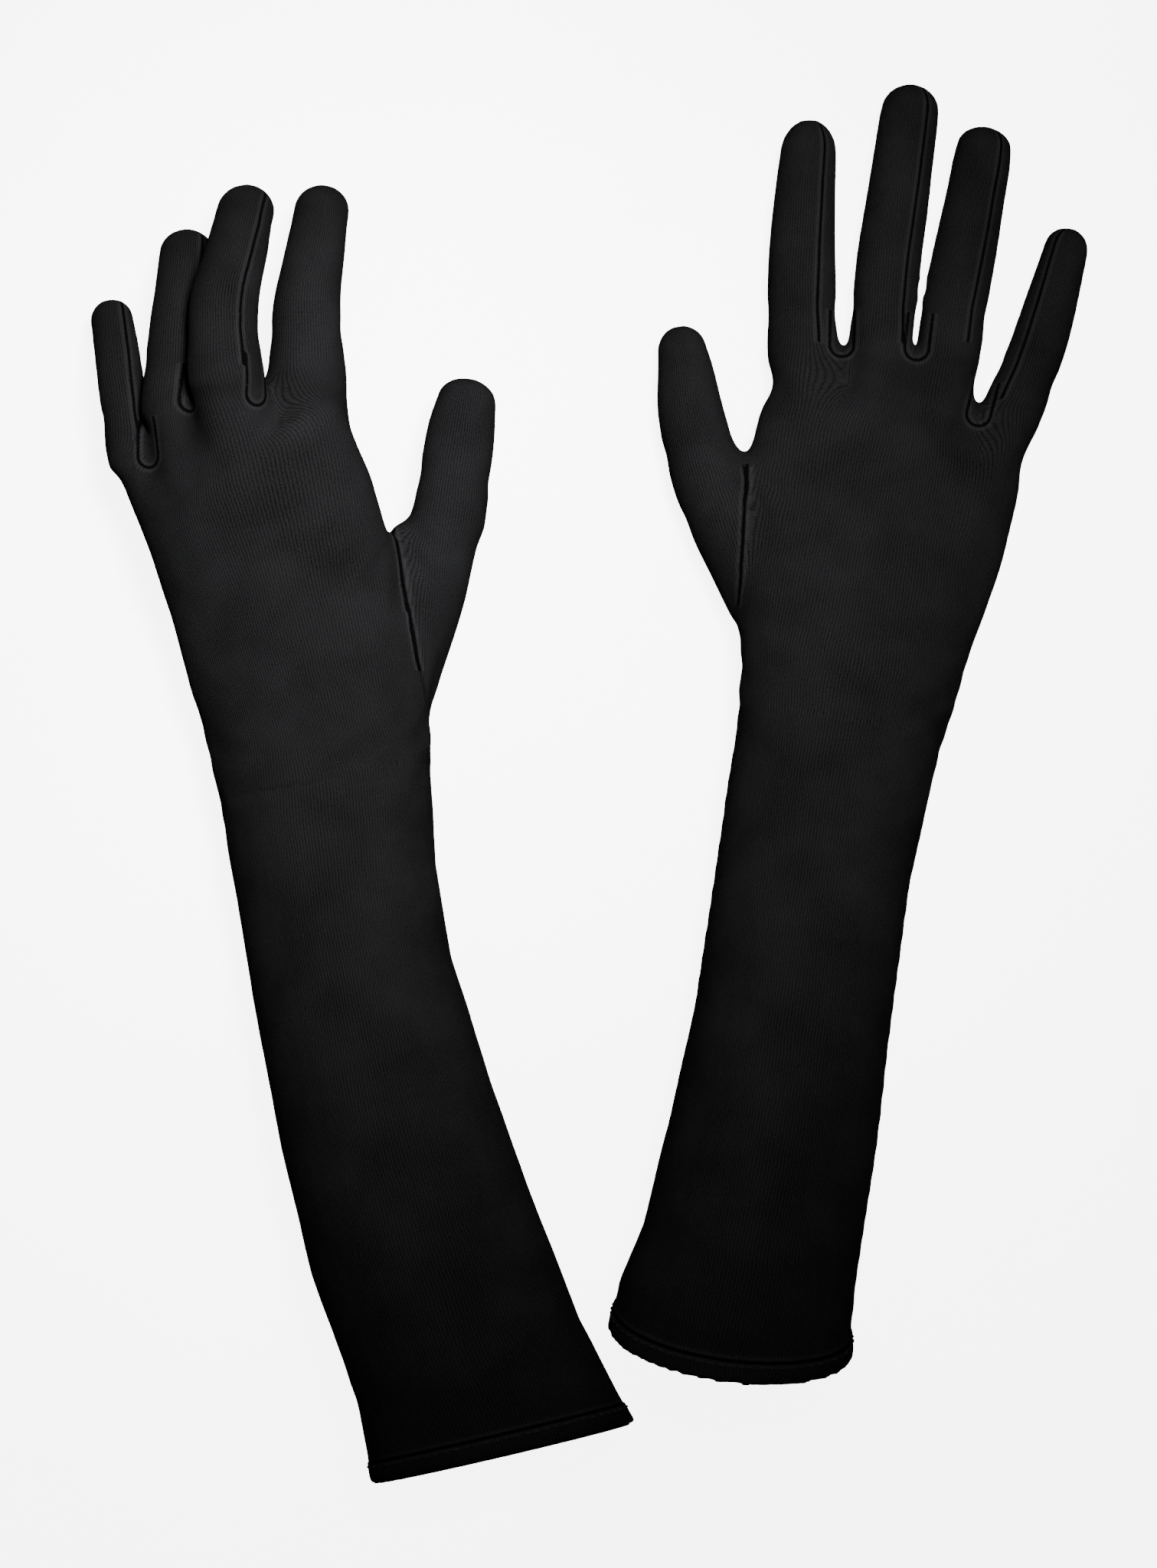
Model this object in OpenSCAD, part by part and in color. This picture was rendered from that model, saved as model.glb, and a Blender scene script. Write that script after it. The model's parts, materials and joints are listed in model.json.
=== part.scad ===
// A pair of elbow-length gloves in fine knitted cloth, lying palm down and
// keeping the round shape of the arm and hand that they are cut for.
// Millimetres. +Z is up from the table, +Y is the way the fingers point.
// The origin is in the middle of the pair, on the table.

/* [Cloth] */
// Thickness of the knitted cloth
wall = 0.8; // [0.6:0.1:1.4]
// Depth of the turned-up hem
hem_depth = 6; // [4:0.5:12]
// How much the turned-up layer adds on the outside
hem_outer = 0.3; // [0.1:0.1:0.6]
// How much the turned-up layer adds on the inside
hem_inner = 0.8; // [0.4:0.1:1.2]
// Length of one hem stitch
stitch_length = 1.8; // [1:0.1:3]
// Number of hem stitches round each opening
stitch_count = 39; // [30:1:72]
// Thickness of the hem thread
thread = 0.5; // [0.3:0.1:0.8]
// Width of the flat strip that the cloth rests on
flat = 0.6; // [0.2:0.1:1.2]

/* [Movement] */
// Clearance between two moving parts
gap = 0.3; // [0.3:0.05:0.6]
// How far a finger joint opens backwards from its resting shape, degrees
backward = 15; // [5:1:25]
// How far the wrist bends each way, degrees
wrist_swing = 40; // [20:1:50]
// Half length of the wrist band where it is narrowest
wrist_half = 2; // [1.5:0.1:4]

/* [Left arm: centre x, centre y, half width, half height] */
// At the hem
left_arm_1 = [-26.5, -200.5, 39.7, 26]; // [-220:0.5:220]
// Below the hem
left_arm_2 = [-36, -173, 35.5, 27]; // [-220:0.5:220]
// Below the elbow
left_arm_3 = [-50, -136, 34.9, 26]; // [-220:0.5:220]
// Upper forearm
left_arm_4 = [-60.5, -100.5, 32.9, 25]; // [-220:0.5:220]
// Middle of the forearm
left_arm_5 = [-71, -58.5, 30.4, 23.5]; // [-220:0.5:220]
// Lower forearm
left_arm_6 = [-76, -29, 30.3, 21.5]; // [-220:0.5:220]
// Just above the wrist
left_arm_7 = [-79, -3, 31.9, 20.5]; // [-220:0.5:220]
// Just beyond the wrist
left_arm_8 = [-81, 16, 33.9, 19.5]; // [-220:0.5:220]
// Heel of the hand
left_arm_9 = [-86, 37, 35, 18]; // [-220:0.5:220]
// Middle of the palm
left_arm_10 = [-91.5, 58, 35, 16]; // [-220:0.5:220]
// Upper palm
left_arm_11 = [-97, 76.5, 36, 14.5]; // [-220:0.5:220]
// Below the knuckles
left_arm_12 = [-104, 94, 36.2, 13.5]; // [-220:0.5:220]
// Lift of the heel, the palm, the upper palm and the knuckles off the table
left_lift = [5, 12, 18.7, 24]; // [0:0.5:40]
// Turn of the knuckle line, degrees
left_knuckle_turn = -15; // [-30:1:30]
// Roll of the knuckles towards the little finger, degrees
left_roll = 7; // [-20:1:20]
// Where the wrist bends, measured along y
left_wrist_y = 8; // [-10:1:40]
// Turn and lean of the hem's opening, degrees
left_hem_angles = [6, 6]; // [-30:1:30]

/* [Left thumb: start point, headings, dips, lengths, half widths] */
// Where the thumb starts inside the hand
left_thumb_start = [-60, 16.5, 17]; // [-220:0.5:220]
// Headings of the root, the base, the tip's start and the tip's end
left_thumb_heading = [15.5, 7, 8, 13]; // [-60:1:60]
// Dips of the same four, downwards positive
left_thumb_dip = [-2, 2, 2, 8]; // [-60:1:80]
// Lengths of the root, the base and the tip
left_thumb_length = [70, 16.2, 22.6]; // [5:0.5:80]
// Half widths at the root, the middle joint, the tip's middle and end
left_thumb_width = [10.9, 11, 10.8, 9.7]; // [5:0.1:15]

/* [Left index finger] */
// Where the finger starts inside the hand
left_index_start = [-80.5, 70, 30]; // [-220:0.5:220]
// Headings
left_index_heading = [-3.5, -2, 8, 5]; // [-60:1:60]
// Dips
left_index_dip = [-6.9, 6, 20, 50]; // [-60:1:80]
// Lengths
left_index_length = [56.3, 15, 46.5]; // [5:0.5:80]
// Half widths
left_index_width = [11.2, 10.2, 8.8, 8.2]; // [5:0.1:15]

/* [Left middle finger] */
// Where the finger starts inside the hand
left_middle_start = [-99, 70, 31]; // [-220:0.5:220]
// Headings
left_middle_heading = [-9.5, -2.5, 12.5, 6.5]; // [-60:1:60]
// Dips
left_middle_dip = [-15.5, 6, 28, 58]; // [-60:1:80]
// Lengths
left_middle_length = [57, 17.2, 50.5]; // [5:0.5:80]
// Half widths
left_middle_width = [11.3, 10.2, 9.2, 8.5]; // [5:0.1:15]

/* [Left ring finger] */
// Where the finger starts inside the hand
left_ring_start = [-115, 65, 29]; // [-220:0.5:220]
// Headings
left_ring_heading = [-9.5, 4, 5, -2]; // [-60:1:60]
// Dips
left_ring_dip = [-4.2, 6, 24, 52]; // [-60:1:80]
// Lengths
left_ring_length = [52.3, 17.4, 39.8]; // [5:0.5:80]
// Half widths
left_ring_width = [9.9, 9.3, 8.6, 8.3]; // [5:0.1:15]

/* [Left little finger] */
// Where the finger starts inside the hand
left_little_start = [-120, 60, 26.3]; // [-220:0.5:220]
// Headings
left_little_heading = [-22.5, -8.5, -8, -14]; // [-60:1:60]
// Dips
left_little_dip = [-0.2, 6, 22, 50]; // [-60:1:80]
// Lengths
left_little_length = [46.5, 17.5, 30.5]; // [5:0.5:80]
// Half widths
left_little_width = [7.2, 6.9, 6.8, 6.3]; // [5:0.1:15]

/* [Left crotches: x, y, z, half height] */
// Between thumb and hand
left_web_thumb = [-56.5, 78.5, 20.7, 7.2]; // [-220:0.5:220]
// Between index and middle finger
left_web_1 = [-95, 121.5, 34.8, 7]; // [-220:0.5:220]
// Between middle and ring finger
left_web_2 = [-119, 111.5, 35.6, 7.1]; // [-220:0.5:220]
// Between ring and little finger
left_web_3 = [-131.5, 92, 31, 6]; // [-220:0.5:220]
// Seam of the set-in thumb piece, from crotch to wrist: x, y, x, y
left_thumb_seam = [-59, 78, -49, 24]; // [-220:0.5:220]

/* [Right arm: centre x, centre y, half width, half height] */
// At the hem
right_arm_1 = [42.3, -167, 36.4, 27]; // [-220:0.5:220]
// Below the hem
right_arm_2 = [43.8, -156, 35.4, 27]; // [-220:0.5:220]
// Below the elbow
right_arm_3 = [48.1, -140, 32.9, 26.5]; // [-220:0.5:220]
// Upper forearm
right_arm_4 = [54.6, -107.5, 31.5, 25.5]; // [-220:0.5:220]
// Middle of the forearm
right_arm_5 = [61, -70.5, 29.5, 24]; // [-220:0.5:220]
// Lower forearm
right_arm_6 = [67.5, -25, 29.2, 21.5]; // [-220:0.5:220]
// Just above the wrist
right_arm_7 = [74, 10, 30.5, 20.5]; // [-220:0.5:220]
// Just beyond the wrist
right_arm_8 = [78, 31, 33, 19.5]; // [-220:0.5:220]
// Heel of the hand
right_arm_9 = [80, 45, 35.6, 18]; // [-220:0.5:220]
// Middle of the palm
right_arm_10 = [82, 58, 38.4, 16.5]; // [-220:0.5:220]
// Upper palm
right_arm_11 = [85, 77, 41.4, 14.5]; // [-220:0.5:220]
// Below the knuckles
right_arm_12 = [90.5, 99, 41.6, 13.5]; // [-220:0.5:220]
// Lift of the heel, the palm, the upper palm and the knuckles off the table
right_lift = [0, 0, 0, 0]; // [0:0.5:40]
// Turn of the knuckle line, degrees
right_knuckle_turn = 5; // [-30:1:30]
// Roll of the knuckles towards the little finger, degrees
right_roll = 0; // [-20:1:20]
// Where the wrist bends, measured along y
right_wrist_y = 24; // [-10:1:40]
// Turn and lean of the hem's opening, degrees
right_hem_angles = [-1, -20]; // [-30:1:30]

/* [Right thumb] */
// Where the thumb starts inside the hand
right_thumb_start = [54.2, 51.2, 13]; // [-220:0.5:220]
// Headings
right_thumb_heading = [-23.5, -16.5, -4, -12]; // [-60:1:60]
// Dips
right_thumb_dip = [2, 2, 0, 6]; // [-60:1:80]
// Lengths
right_thumb_length = [48, 15.4, 28.6]; // [5:0.5:80]
// Half widths
right_thumb_width = [11.3, 10.4, 9.5, 7.8]; // [5:0.1:15]

/* [Right index finger] */
// Where the finger starts inside the hand
right_index_start = [70, 76, 13.5]; // [-220:0.5:220]
// Headings
right_index_heading = [-5.5, -0.5, 1.5, 6]; // [-60:1:60]
// Dips
right_index_dip = [3.5, 3, 0, 3]; // [-60:1:80]
// Lengths
right_index_length = [59.4, 19, 47.2]; // [5:0.5:80]
// Half widths
right_index_width = [10.3, 10.5, 9.6, 8.4]; // [5:0.1:15]

/* [Right middle finger] */
// Where the finger starts inside the hand
right_middle_start = [84, 75, 13.8]; // [-220:0.5:220]
// Headings
right_middle_heading = [4.5, 4, 9, 7]; // [-60:1:60]
// Dips
right_middle_dip = [3.5, 3, 0, 3]; // [-60:1:80]
// Lengths
right_middle_length = [61, 20, 56.6]; // [5:0.5:80]
// Half widths
right_middle_width = [9.8, 10, 9.4, 8.9]; // [5:0.1:15]

/* [Right ring finger] */
// Where the finger starts inside the hand
right_ring_start = [99.5, 73, 13.6]; // [-220:0.5:220]
// Headings
right_ring_heading = [8.5, 10.5, 12, 9]; // [-60:1:60]
// Dips
right_ring_dip = [3.5, 3, 0, 3]; // [-60:1:80]
// Lengths
right_ring_length = [64, 18.2, 45.6]; // [5:0.5:80]
// Half widths
right_ring_width = [10, 9.8, 9.2, 8.7]; // [5:0.1:15]

/* [Right little finger] */
// Where the finger starts inside the hand
right_little_start = [112, 74, 13]; // [-220:0.5:220]
// Headings
right_little_heading = [22.5, 21.5, 16, 15]; // [-60:1:60]
// Dips
right_little_dip = [5, 3, 0, 3]; // [-60:1:80]
// Lengths
right_little_length = [46.5, 20, 34]; // [5:0.5:80]
// Half widths
right_little_width = [8.9, 8.3, 7.7, 6.7]; // [5:0.1:15]

/* [Right crotches: x, y, z, half height] */
// Between thumb and hand
right_web_thumb = [47.7, 98, 12, 7]; // [-220:0.5:220]
// Between index and middle finger
right_web_1 = [75.8, 131, 11, 7]; // [-220:0.5:220]
// Between middle and ring finger
right_web_2 = [98, 132, 11, 7]; // [-220:0.5:220]
// Between ring and little finger
right_web_3 = [117.6, 113.5, 11, 7]; // [-220:0.5:220]
// Seam of the set-in thumb piece, from crotch to wrist: x, y, x, y
right_thumb_seam = [47.5, 99, 44.5, 44]; // [-220:0.5:220]

/* [Fingers] */
// Depth of a finger as a share of its width
depth_share = 0.86; // [0.7:0.01:1]
// Distance of the side strip's seams from the finger's middle, share of half width
seam_share = 0.55; // [0.3:0.05:0.8]
// Roll of the thumbs outwards, degrees
thumb_roll = 30; // [0:1:60]
// Half depth of the hand behind the knuckles
knuckle_depth = 12.8; // [10:0.1:16]
// How much wider a thumb is at its ball than at its root joint
thumb_ball = 1.6; // [0:0.1:4]

/* [Hidden] */
far = 500;
arm_sides = 32;
digit_sides = 16;

// ---- Small vector helpers ----

function unit(v) = v / norm(v);
function mix(a, b, f) = a * (1 - f) + b * f;
function total(v, i = 0) = i < len(v) - 1 ? v[i] + total(v, i + 1) : v[i];
function heading(h, p) = [sin(h) * cos(p), cos(h) * cos(p), -sin(p)];

// A frame is [side, up, forward, point]: forward runs along the limb.
function side_of(f) = unit(cross(f, [0, 0, 1]));
function frame(p, f, roll = 0, turn = 0) =
  let (
    u0 = side_of(f),
    v0 = cross(u0, f),
    u1 = u0 * cos(roll) + v0 * sin(roll),
    v1 = v0 * cos(roll) - u0 * sin(roll),
    f2 = f * cos(turn) + u1 * sin(turn),
    u2 = u1 * cos(turn) - f * sin(turn)
  ) [u2, v1, f2, p];
function forward_at(pts, i) =
  unit(pts[min(i + 1, len(pts) - 1)] - pts[max(i - 1, 0)]);

module place(fr) {
  multmatrix([
    [fr[0][0], fr[1][0], fr[2][0], fr[3][0]],
    [fr[0][1], fr[1][1], fr[2][1], fr[3][1]],
    [fr[0][2], fr[1][2], fr[2][2], fr[3][2]],
    [0, 0, 0, 1]
  ]) children();
}

// A limb is a list of [frame, half width, half depth].
function ring_points(st, sides) = [
  for (i = [0:sides - 1])
    let (a = (i + 0.5) * 360 / sides)
      st[0][3] + st[0][0] * st[1] * cos(a) / cos(180 / sides)
        + st[0][1] * st[2] * sin(a)
];
function limb_faces(n, m) = concat(
  [[for (i = [n - 1:-1:0]) i]],
  [[for (i = [0:n - 1]) (m - 1) * n + i]],
  [
    for (j = [0:m - 2])
      for (i = [0:n - 1])
        [j * n + i, j * n + (i + 1) % n, (j + 1) * n + (i + 1) % n]
  ],
  [
    for (j = [0:m - 2])
      for (i = [0:n - 1])
        [j * n + i, (j + 1) * n + (i + 1) % n, (j + 1) * n + i]
  ]
);

module limb(list, sides) {
  polyhedron(
    [for (st = list) for (p = ring_points(st, sides)) p],
    limb_faces(sides, len(list)),
    convexity = 6
  );
}

// A block between two parallel plates, both square to the frame's forward.
module block(from, to) {
  hull() {
    translate([0, 0, from + 0.5]) cube([far, far, 1], center = true);
    translate([0, 0, to - 0.5]) cube([far, far, 1], center = true);
  }
}

// Everything forward of a plane, or behind it, tilted about the side axis.
module ahead(fr, tilt = 0, offset = 0) {
  place(fr) rotate([tilt, 0, 0]) block(offset, far);
}

module behind(fr, tilt = 0, offset = 0) {
  place(fr) rotate([tilt, 0, 0]) block(-far, -offset);
}

// Everything further than a distance to one side of a frame.
module beside(fr, way, offset) {
  place(fr) rotate([0, 90 * way, 0]) block(offset, far);
}

module within(fr, way, offset) {
  place(fr) rotate([0, 90 * way, 0]) block(-far, offset);
}

module above(z) {
  block(z, far);
}

// The space round a limb: between two sides, a ceiling and a floor.
module room(fr, w, h) {
  intersection() {
    within(fr, -1, w);
    within(fr, 1, w);
    place(fr) rotate([-90, 0, 0]) block(-far, h);
    place(fr) rotate([90, 0, 0]) block(-far, h);
  }
}

// ---- The two gloves as data ----

LEFT = 0;
RIGHT = 1;
arm_rows = [
  [left_arm_1, left_arm_2, left_arm_3, left_arm_4, left_arm_5, left_arm_6,
    left_arm_7, left_arm_8, left_arm_9, left_arm_10, left_arm_11, left_arm_12],
  [right_arm_1, right_arm_2, right_arm_3, right_arm_4, right_arm_5, right_arm_6,
    right_arm_7, right_arm_8, right_arm_9, right_arm_10, right_arm_11,
    right_arm_12]
];
lifts = [left_lift, right_lift];
knuckle_turns = [left_knuckle_turn, right_knuckle_turn];
rolls = [left_roll, right_roll];
wrist_ys = [left_wrist_y, right_wrist_y];
hem_angles = [left_hem_angles, right_hem_angles];
cap_steps = [[2, 4], [7, 12]];
webs = [
  [left_web_1, left_web_2, left_web_3],
  [right_web_1, right_web_2, right_web_3]
];
thumb_webs = [left_web_thumb, right_web_thumb];
thumb_seams = [left_thumb_seam, right_thumb_seam];

// Digits in the order thumb, index, middle, ring, little.
THUMB = 0;
INDEX = 1;
MIDDLE = 2;
RING = 3;
LITTLE = 4;
digits = [
  [
    [left_thumb_start, left_thumb_heading, left_thumb_dip, left_thumb_length,
      left_thumb_width, -thumb_roll],
    [left_index_start, left_index_heading, left_index_dip, left_index_length,
      left_index_width, 0],
    [left_middle_start, left_middle_heading, left_middle_dip,
      left_middle_length, left_middle_width, 0],
    [left_ring_start, left_ring_heading, left_ring_dip, left_ring_length,
      left_ring_width, 0],
    [left_little_start, left_little_heading, left_little_dip,
      left_little_length, left_little_width, 0]
  ],
  [
    [right_thumb_start, right_thumb_heading, right_thumb_dip,
      right_thumb_length, right_thumb_width, thumb_roll],
    [right_index_start, right_index_heading, right_index_dip,
      right_index_length, right_index_width, 0],
    [right_middle_start, right_middle_heading, right_middle_dip,
      right_middle_length, right_middle_width, 0],
    [right_ring_start, right_ring_heading, right_ring_dip, right_ring_length,
      right_ring_width, 0],
    [right_little_start, right_little_heading, right_little_dip,
      right_little_length, right_little_width, 0]
  ]
];

// ---- Arm and palm ----

function arm_lift(g, i) = i < 8 ? 0 : lifts[g][i - 8];
function arm_point(g, i) =
  let (r = arm_rows[g][i]) [r[0], r[1], r[3] - flat + arm_lift(g, i)];
function arm_points(g) = [for (i = [0:11]) arm_point(g, i)];
function arm_roll(g, i) = i < 8 ? 0 : rolls[g] * (i - 7) / 4;
function arm_turn(g, i) = i < 10 ? 0 : knuckle_turns[g] * (i - 9) / 2;
function arm_frame(g, i) =
  let (pts = arm_points(g))
    frame(pts[i], forward_at(pts, i), (g == LEFT ? 1 : -1) * arm_roll(g, i),
      arm_turn(g, i));
function arm_station(g, i, inset) =
  [arm_frame(g, i), arm_rows[g][i][2] - inset, arm_rows[g][i][3] - inset];

// One station is added below the hem, and the knuckle end is rounded off.
function arm_below(g, inset) =
  let (
    fr = arm_frame(g, 0),
    r = arm_rows[g][0],
    s = arm_rows[g][1],
    k = 25 / norm([r[0] - s[0], r[1] - s[1]])
  ) [
    [fr[0], fr[1], fr[2], fr[3] - fr[2] * 25],
    r[2] + (r[2] - s[2]) * k - inset,
    r[3] + (r[3] - s[3]) * k - inset
  ];
function arm_cap(g, k, inset) =
  let (
    fr = arm_frame(g, 11),
    r = arm_rows[g][11],
    step = cap_steps[g][k]
  ) [
    [fr[0], fr[1], fr[2], fr[3] + fr[2] * (step - inset)],
    r[2] * (k == 0 ? 0.97 : 0.9) - inset,
    r[3] * (k == 0 ? 0.86 : 0.64) - inset
  ];
function arm_list(g, inset) = concat(
  [arm_below(g, inset)],
  [for (i = [0:11]) arm_station(g, i, inset)],
  [arm_cap(g, 0, inset), arm_cap(g, 1, inset)]
);

module arm_body(g, inset) {
  limb(arm_list(g, inset), arm_sides);
}

// ---- Digits ----

function tip_point(d, s) =
  let (
    n = 8,
    h = d[1],
    p = d[2],
    c = d[3][2],
    root = d[0] + d[3][0] * heading(h[0], p[0]) + d[3][1] * heading(h[1], p[1])
  ) s <= 0 ? root : root + total([
    for (i = [0:n - 1])
      let (f = (i + 0.5) / n * s / c)
        s / n * heading(mix(h[2], h[3], f), mix(p[2], p[3], f))
  ]);
function tip_width(d, s, inset) =
  let (
    w = d[4],
    c = d[3][2],
    turn = c - 1.1 * w[3],
    f = s / turn,
    straight = f < 0.5 ? mix(w[1], w[2], f * 2) : mix(w[2], w[3], f * 2 - 1),
    g = (s - turn) / (c - inset - turn)
  ) s <= turn ? straight - inset
    : (w[3] - inset) * sqrt(1 - pow(g, 2.3));
function digit_points(d, inset) =
  let (
    c = d[3][2],
    turn = c - 1.1 * d[4][3],
    rest = c - inset - turn
  ) concat(
    [
      d[0],
      d[0] + d[3][0] * 0.6 * heading(d[1][0], d[2][0]),
      d[0] + d[3][0] * heading(d[1][0], d[2][0])
    ],
    [for (f = [0, 0.33, 0.67, 1]) tip_point(d, f * turn)],
    [for (f = [0.45, 0.78, 0.96]) tip_point(d, turn + f * rest)]
  );
function digit_widths(d, inset) =
  let (
    c = d[3][2],
    turn = c - 1.1 * d[4][3],
    rest = c - inset - turn
  ) concat(
    [
      d[4][0] - inset,
      d[4][0] - inset + (d[5] == 0 ? 0 : thumb_ball),
      d[4][0] - inset
    ],
    [for (f = [0, 0.33, 0.67, 1]) tip_width(d, f * turn, inset)],
    [for (f = [0.45, 0.78, 0.96]) tip_width(d, turn + f * rest, inset)]
  );
function digit_depth(d, i, w) =
  d[5] != 0 || i > 1 ? w * depth_share : i == 0 ? knuckle_depth
    : mix(knuckle_depth, w * depth_share, 0.45);
function digit_list(g, k, inset) =
  let (
    d = digits[g][k],
    pts = digit_points(d, inset),
    ws = digit_widths(d, inset)
  ) [
    for (i = [0:len(pts) - 1]) [
      frame(pts[i], forward_at(pts, i), d[5]),
      ws[i],
      digit_depth(d, i, ws[i] + inset) - inset
    ]
  ];

// Hinge frames: on the palm side of the digit, at its root and its middle.
function hinge(g, k, i) =
  let (
    d = digits[g][k],
    pts = digit_points(d, 0),
    ws = digit_widths(d, 0),
    fr = frame(pts[i], forward_at(pts, i), d[5])
  ) [fr[0], fr[1], fr[2], fr[3] - fr[1] * ws[i] * depth_share];
function root_hinge(g, k) = hinge(g, k, 2);
function middle_hinge(g, k) = hinge(g, k, 3);

module digit_body(g, k, inset) {
  limb(digit_list(g, k, inset), digit_sides);
}

module digit_stub(g, k, inset) {
  list = digit_list(g, k, inset);
  limb([for (i = [0:3]) list[i]], digit_sides);
}

// ---- Crotches ----

module crotch(w, back, r, inset) {
  p = [w[0], w[1], w[2]];
  f = -unit(back);
  limb([
    [frame(p + back, f), r - inset, w[3] + 4 - inset],
    [frame(p - f * 3, f), 3.2 - inset, w[3] - inset],
    [frame(p - f * (0.4 + inset), f), 2 - inset * 0.8, w[3] * 0.7 - inset]
  ], 12);
}

module finger_crotches(g) {
  for (w = webs[g]) crotch(w, [g == LEFT ? 7 : -4, -20, 0], 6, 0);
}

module thumb_crotch(g, inset) {
  crotch(thumb_webs[g], [g == LEFT ? -1 : 2, -26, 0], 9, inset);
}

// ---- Whole hand, before it is cut into pieces ----

module hand_outer(g) {
  arm_body(g, 0);
  finger_crotches(g);
  thumb_crotch(g, 0);
  for (k = [THUMB:LITTLE]) {
    intersection() {
      digit_stub(g, k, 0);
      behind(root_hinge(g, k), -backward / 2, gap / 2);
    }
  }
}

module hand_inner(g) {
  intersection() {
    union() {
      arm_body(g, wall);
      thumb_crotch(g, wall);
      for (k = [THUMB:LITTLE]) digit_stub(g, k, wall);
    }
    above(wall);
  }
}

// ---- Wrist ----

// The wrist's frame lies on the line between the arm's stations 7 and 8.
function wrist_frame(g) =
  let (
    a = arm_point(g, 6),
    b = arm_point(g, 7),
    f = (wrist_ys[g] - a[1]) / (b[1] - a[1])
  ) frame(mix(a, b, f), unit(b - a));

module wrist_arm_side(g, more = 0) {
  intersection() {
    behind(wrist_frame(g), wrist_swing / 2, wrist_half + more);
    behind(wrist_frame(g), -wrist_swing / 2, wrist_half + more);
  }
}

module wrist_hand_side(g, less = 0) {
  intersection() {
    ahead(wrist_frame(g), wrist_swing / 2, wrist_half - less);
    ahead(wrist_frame(g), -wrist_swing / 2, wrist_half - less);
  }
}

// ---- Hem ----

function hem_frame(g) =
  let (
    fr = arm_frame(g, 0),
    a = hem_angles[g],
    f1 = fr[2] * cos(a[0]) + fr[0] * sin(a[0]),
    u1 = fr[0] * cos(a[0]) - fr[2] * sin(a[0]),
    f2 = f1 * cos(a[1]) - fr[1] * sin(a[1]),
    v2 = fr[1] * cos(a[1]) + f1 * sin(a[1])
  ) [u1, v2, f2, fr[3]];

module hem_shell(g) {
  difference() {
    intersection() {
      limb([for (i = [0:3]) arm_list(g, -hem_outer)[i]], arm_sides);
      above(0);
    }
    intersection() {
      limb([for (i = [0:3]) arm_list(g, wall + hem_inner)[i]], arm_sides);
      above(wall + hem_inner);
    }
  }
}

module hem_stitches(g) {
  fr = hem_frame(g);
  st = arm_list(g, -hem_outer)[1];
  place([fr[0], fr[1], fr[2], fr[3] + fr[2] * (hem_depth - 1.2)]) {
    for (i = [0:stitch_count - 1]) {
      a = i * 360 / stitch_count;
      x = st[1] * cos(a) * 0.985;
      y = st[2] * sin(a) / cos(hem_angles[g][1]) * 1.005;
      lean = atan2(st[1] * cos(a), -st[2] * sin(a));
      if (fr[3][2] + y * fr[1][2] > 2) {
        translate([x, y, 0]) rotate([0, 0, lean]) hull() {
          translate([-stitch_length / 2, 0, 0.2])
            cube([thread, 1.6, thread], center = true);
          translate([stitch_length / 2, 0, -0.2])
            cube([thread, 1.6, thread], center = true);
        }
      }
    }
  }
}

// ---- Pieces ----

module hem(g) {
  color([0.05, 0.05, 0.06]) intersection() {
    hem_shell(g);
    room(hem_frame(g), 80, 80);
    ahead(hem_frame(g));
    behind(hem_frame(g), 0, -hem_depth);
  }
}

// The stitches stand proud of the hem's outer face.
module hem_stitching(g) {
  color([0.09, 0.09, 0.1]) difference() {
    hem_stitches(g);
    limb([for (i = [0:3]) arm_list(g, -hem_outer)[i]], arm_sides);
  }
}

module sleeve(g) {
  color([0.05, 0.05, 0.06]) difference() {
    intersection() {
      arm_body(g, 0);
      above(0);
      room(arm_frame(g, 3), 90, 90);
      ahead(hem_frame(g), 0, hem_depth);
      wrist_arm_side(g);
    }
    intersection() {
      arm_body(g, wall);
      above(wall);
    }
  }
}

module wrist(g) {
  color([0.06, 0.06, 0.07]) difference() {
    intersection() {
      arm_body(g, 0);
      above(0);
      ahead(wrist_frame(g), 0, -16);
      behind(wrist_frame(g), 0, -16);
    }
    wrist_arm_side(g);
    wrist_hand_side(g, gap);
    intersection() {
      arm_body(g, wall);
      above(wall);
    }
  }
}

module hand_shell(g) {
  difference() {
    intersection() {
      hand_outer(g);
      above(0);
      wrist_hand_side(g);
    }
    hand_inner(g);
  }
}

// The thumb piece is set in along a seam from the crotch to the wrist.
module thumb_side(g, more = 0) {
  s = thumb_seams[g];
  a = atan2(s[0] - s[2], s[1] - s[3]);
  m = g == LEFT ? 1 : -1;
  translate([s[2], s[3], -1]) rotate([0, 0, -a])
    translate([m > 0 ? more : -far - more, -2, 0]) cube([far, far, 90]);
}

module hand(g) {
  color([0.05, 0.05, 0.06]) difference() {
    hand_shell(g);
    thumb_side(g);
  }
}

module thumb_root(g) {
  color([0.055, 0.055, 0.065]) intersection() {
    hand_shell(g);
    thumb_side(g);
  }
}

// Which sides of a finger carry a strip: -1 is towards -X, 1 towards +X.
function strip_sides(g, k) =
  k == MIDDLE || k == RING ? [-1, 1]
  : k == INDEX ? [g == LEFT ? -1 : 1]
  : k == LITTLE ? [g == LEFT ? 1 : -1]
  : [];

module strip_zone(g, k, i) {
  st = digit_list(g, k, 0)[i];
  for (s = strip_sides(g, k)) beside(st[0], s, seam_share * st[1]);
}

// The space round one finger, between two of its hinges.
module finger_cell(g, k, i) {
  st = digit_list(g, k, 0)[i];
  intersection() {
    room(st[0], st[1] + 9, 70);
    above(0);
    ahead(hinge(g, k, i), backward / 2, gap / 2);
  }
}

module base_shell(g, k) {
  difference() {
    intersection() {
      digit_body(g, k, 0);
      finger_cell(g, k, 2);
      behind(middle_hinge(g, k), -backward / 2, gap / 2);
    }
    intersection() {
      digit_body(g, k, wall);
      above(wall);
    }
  }
}

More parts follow.
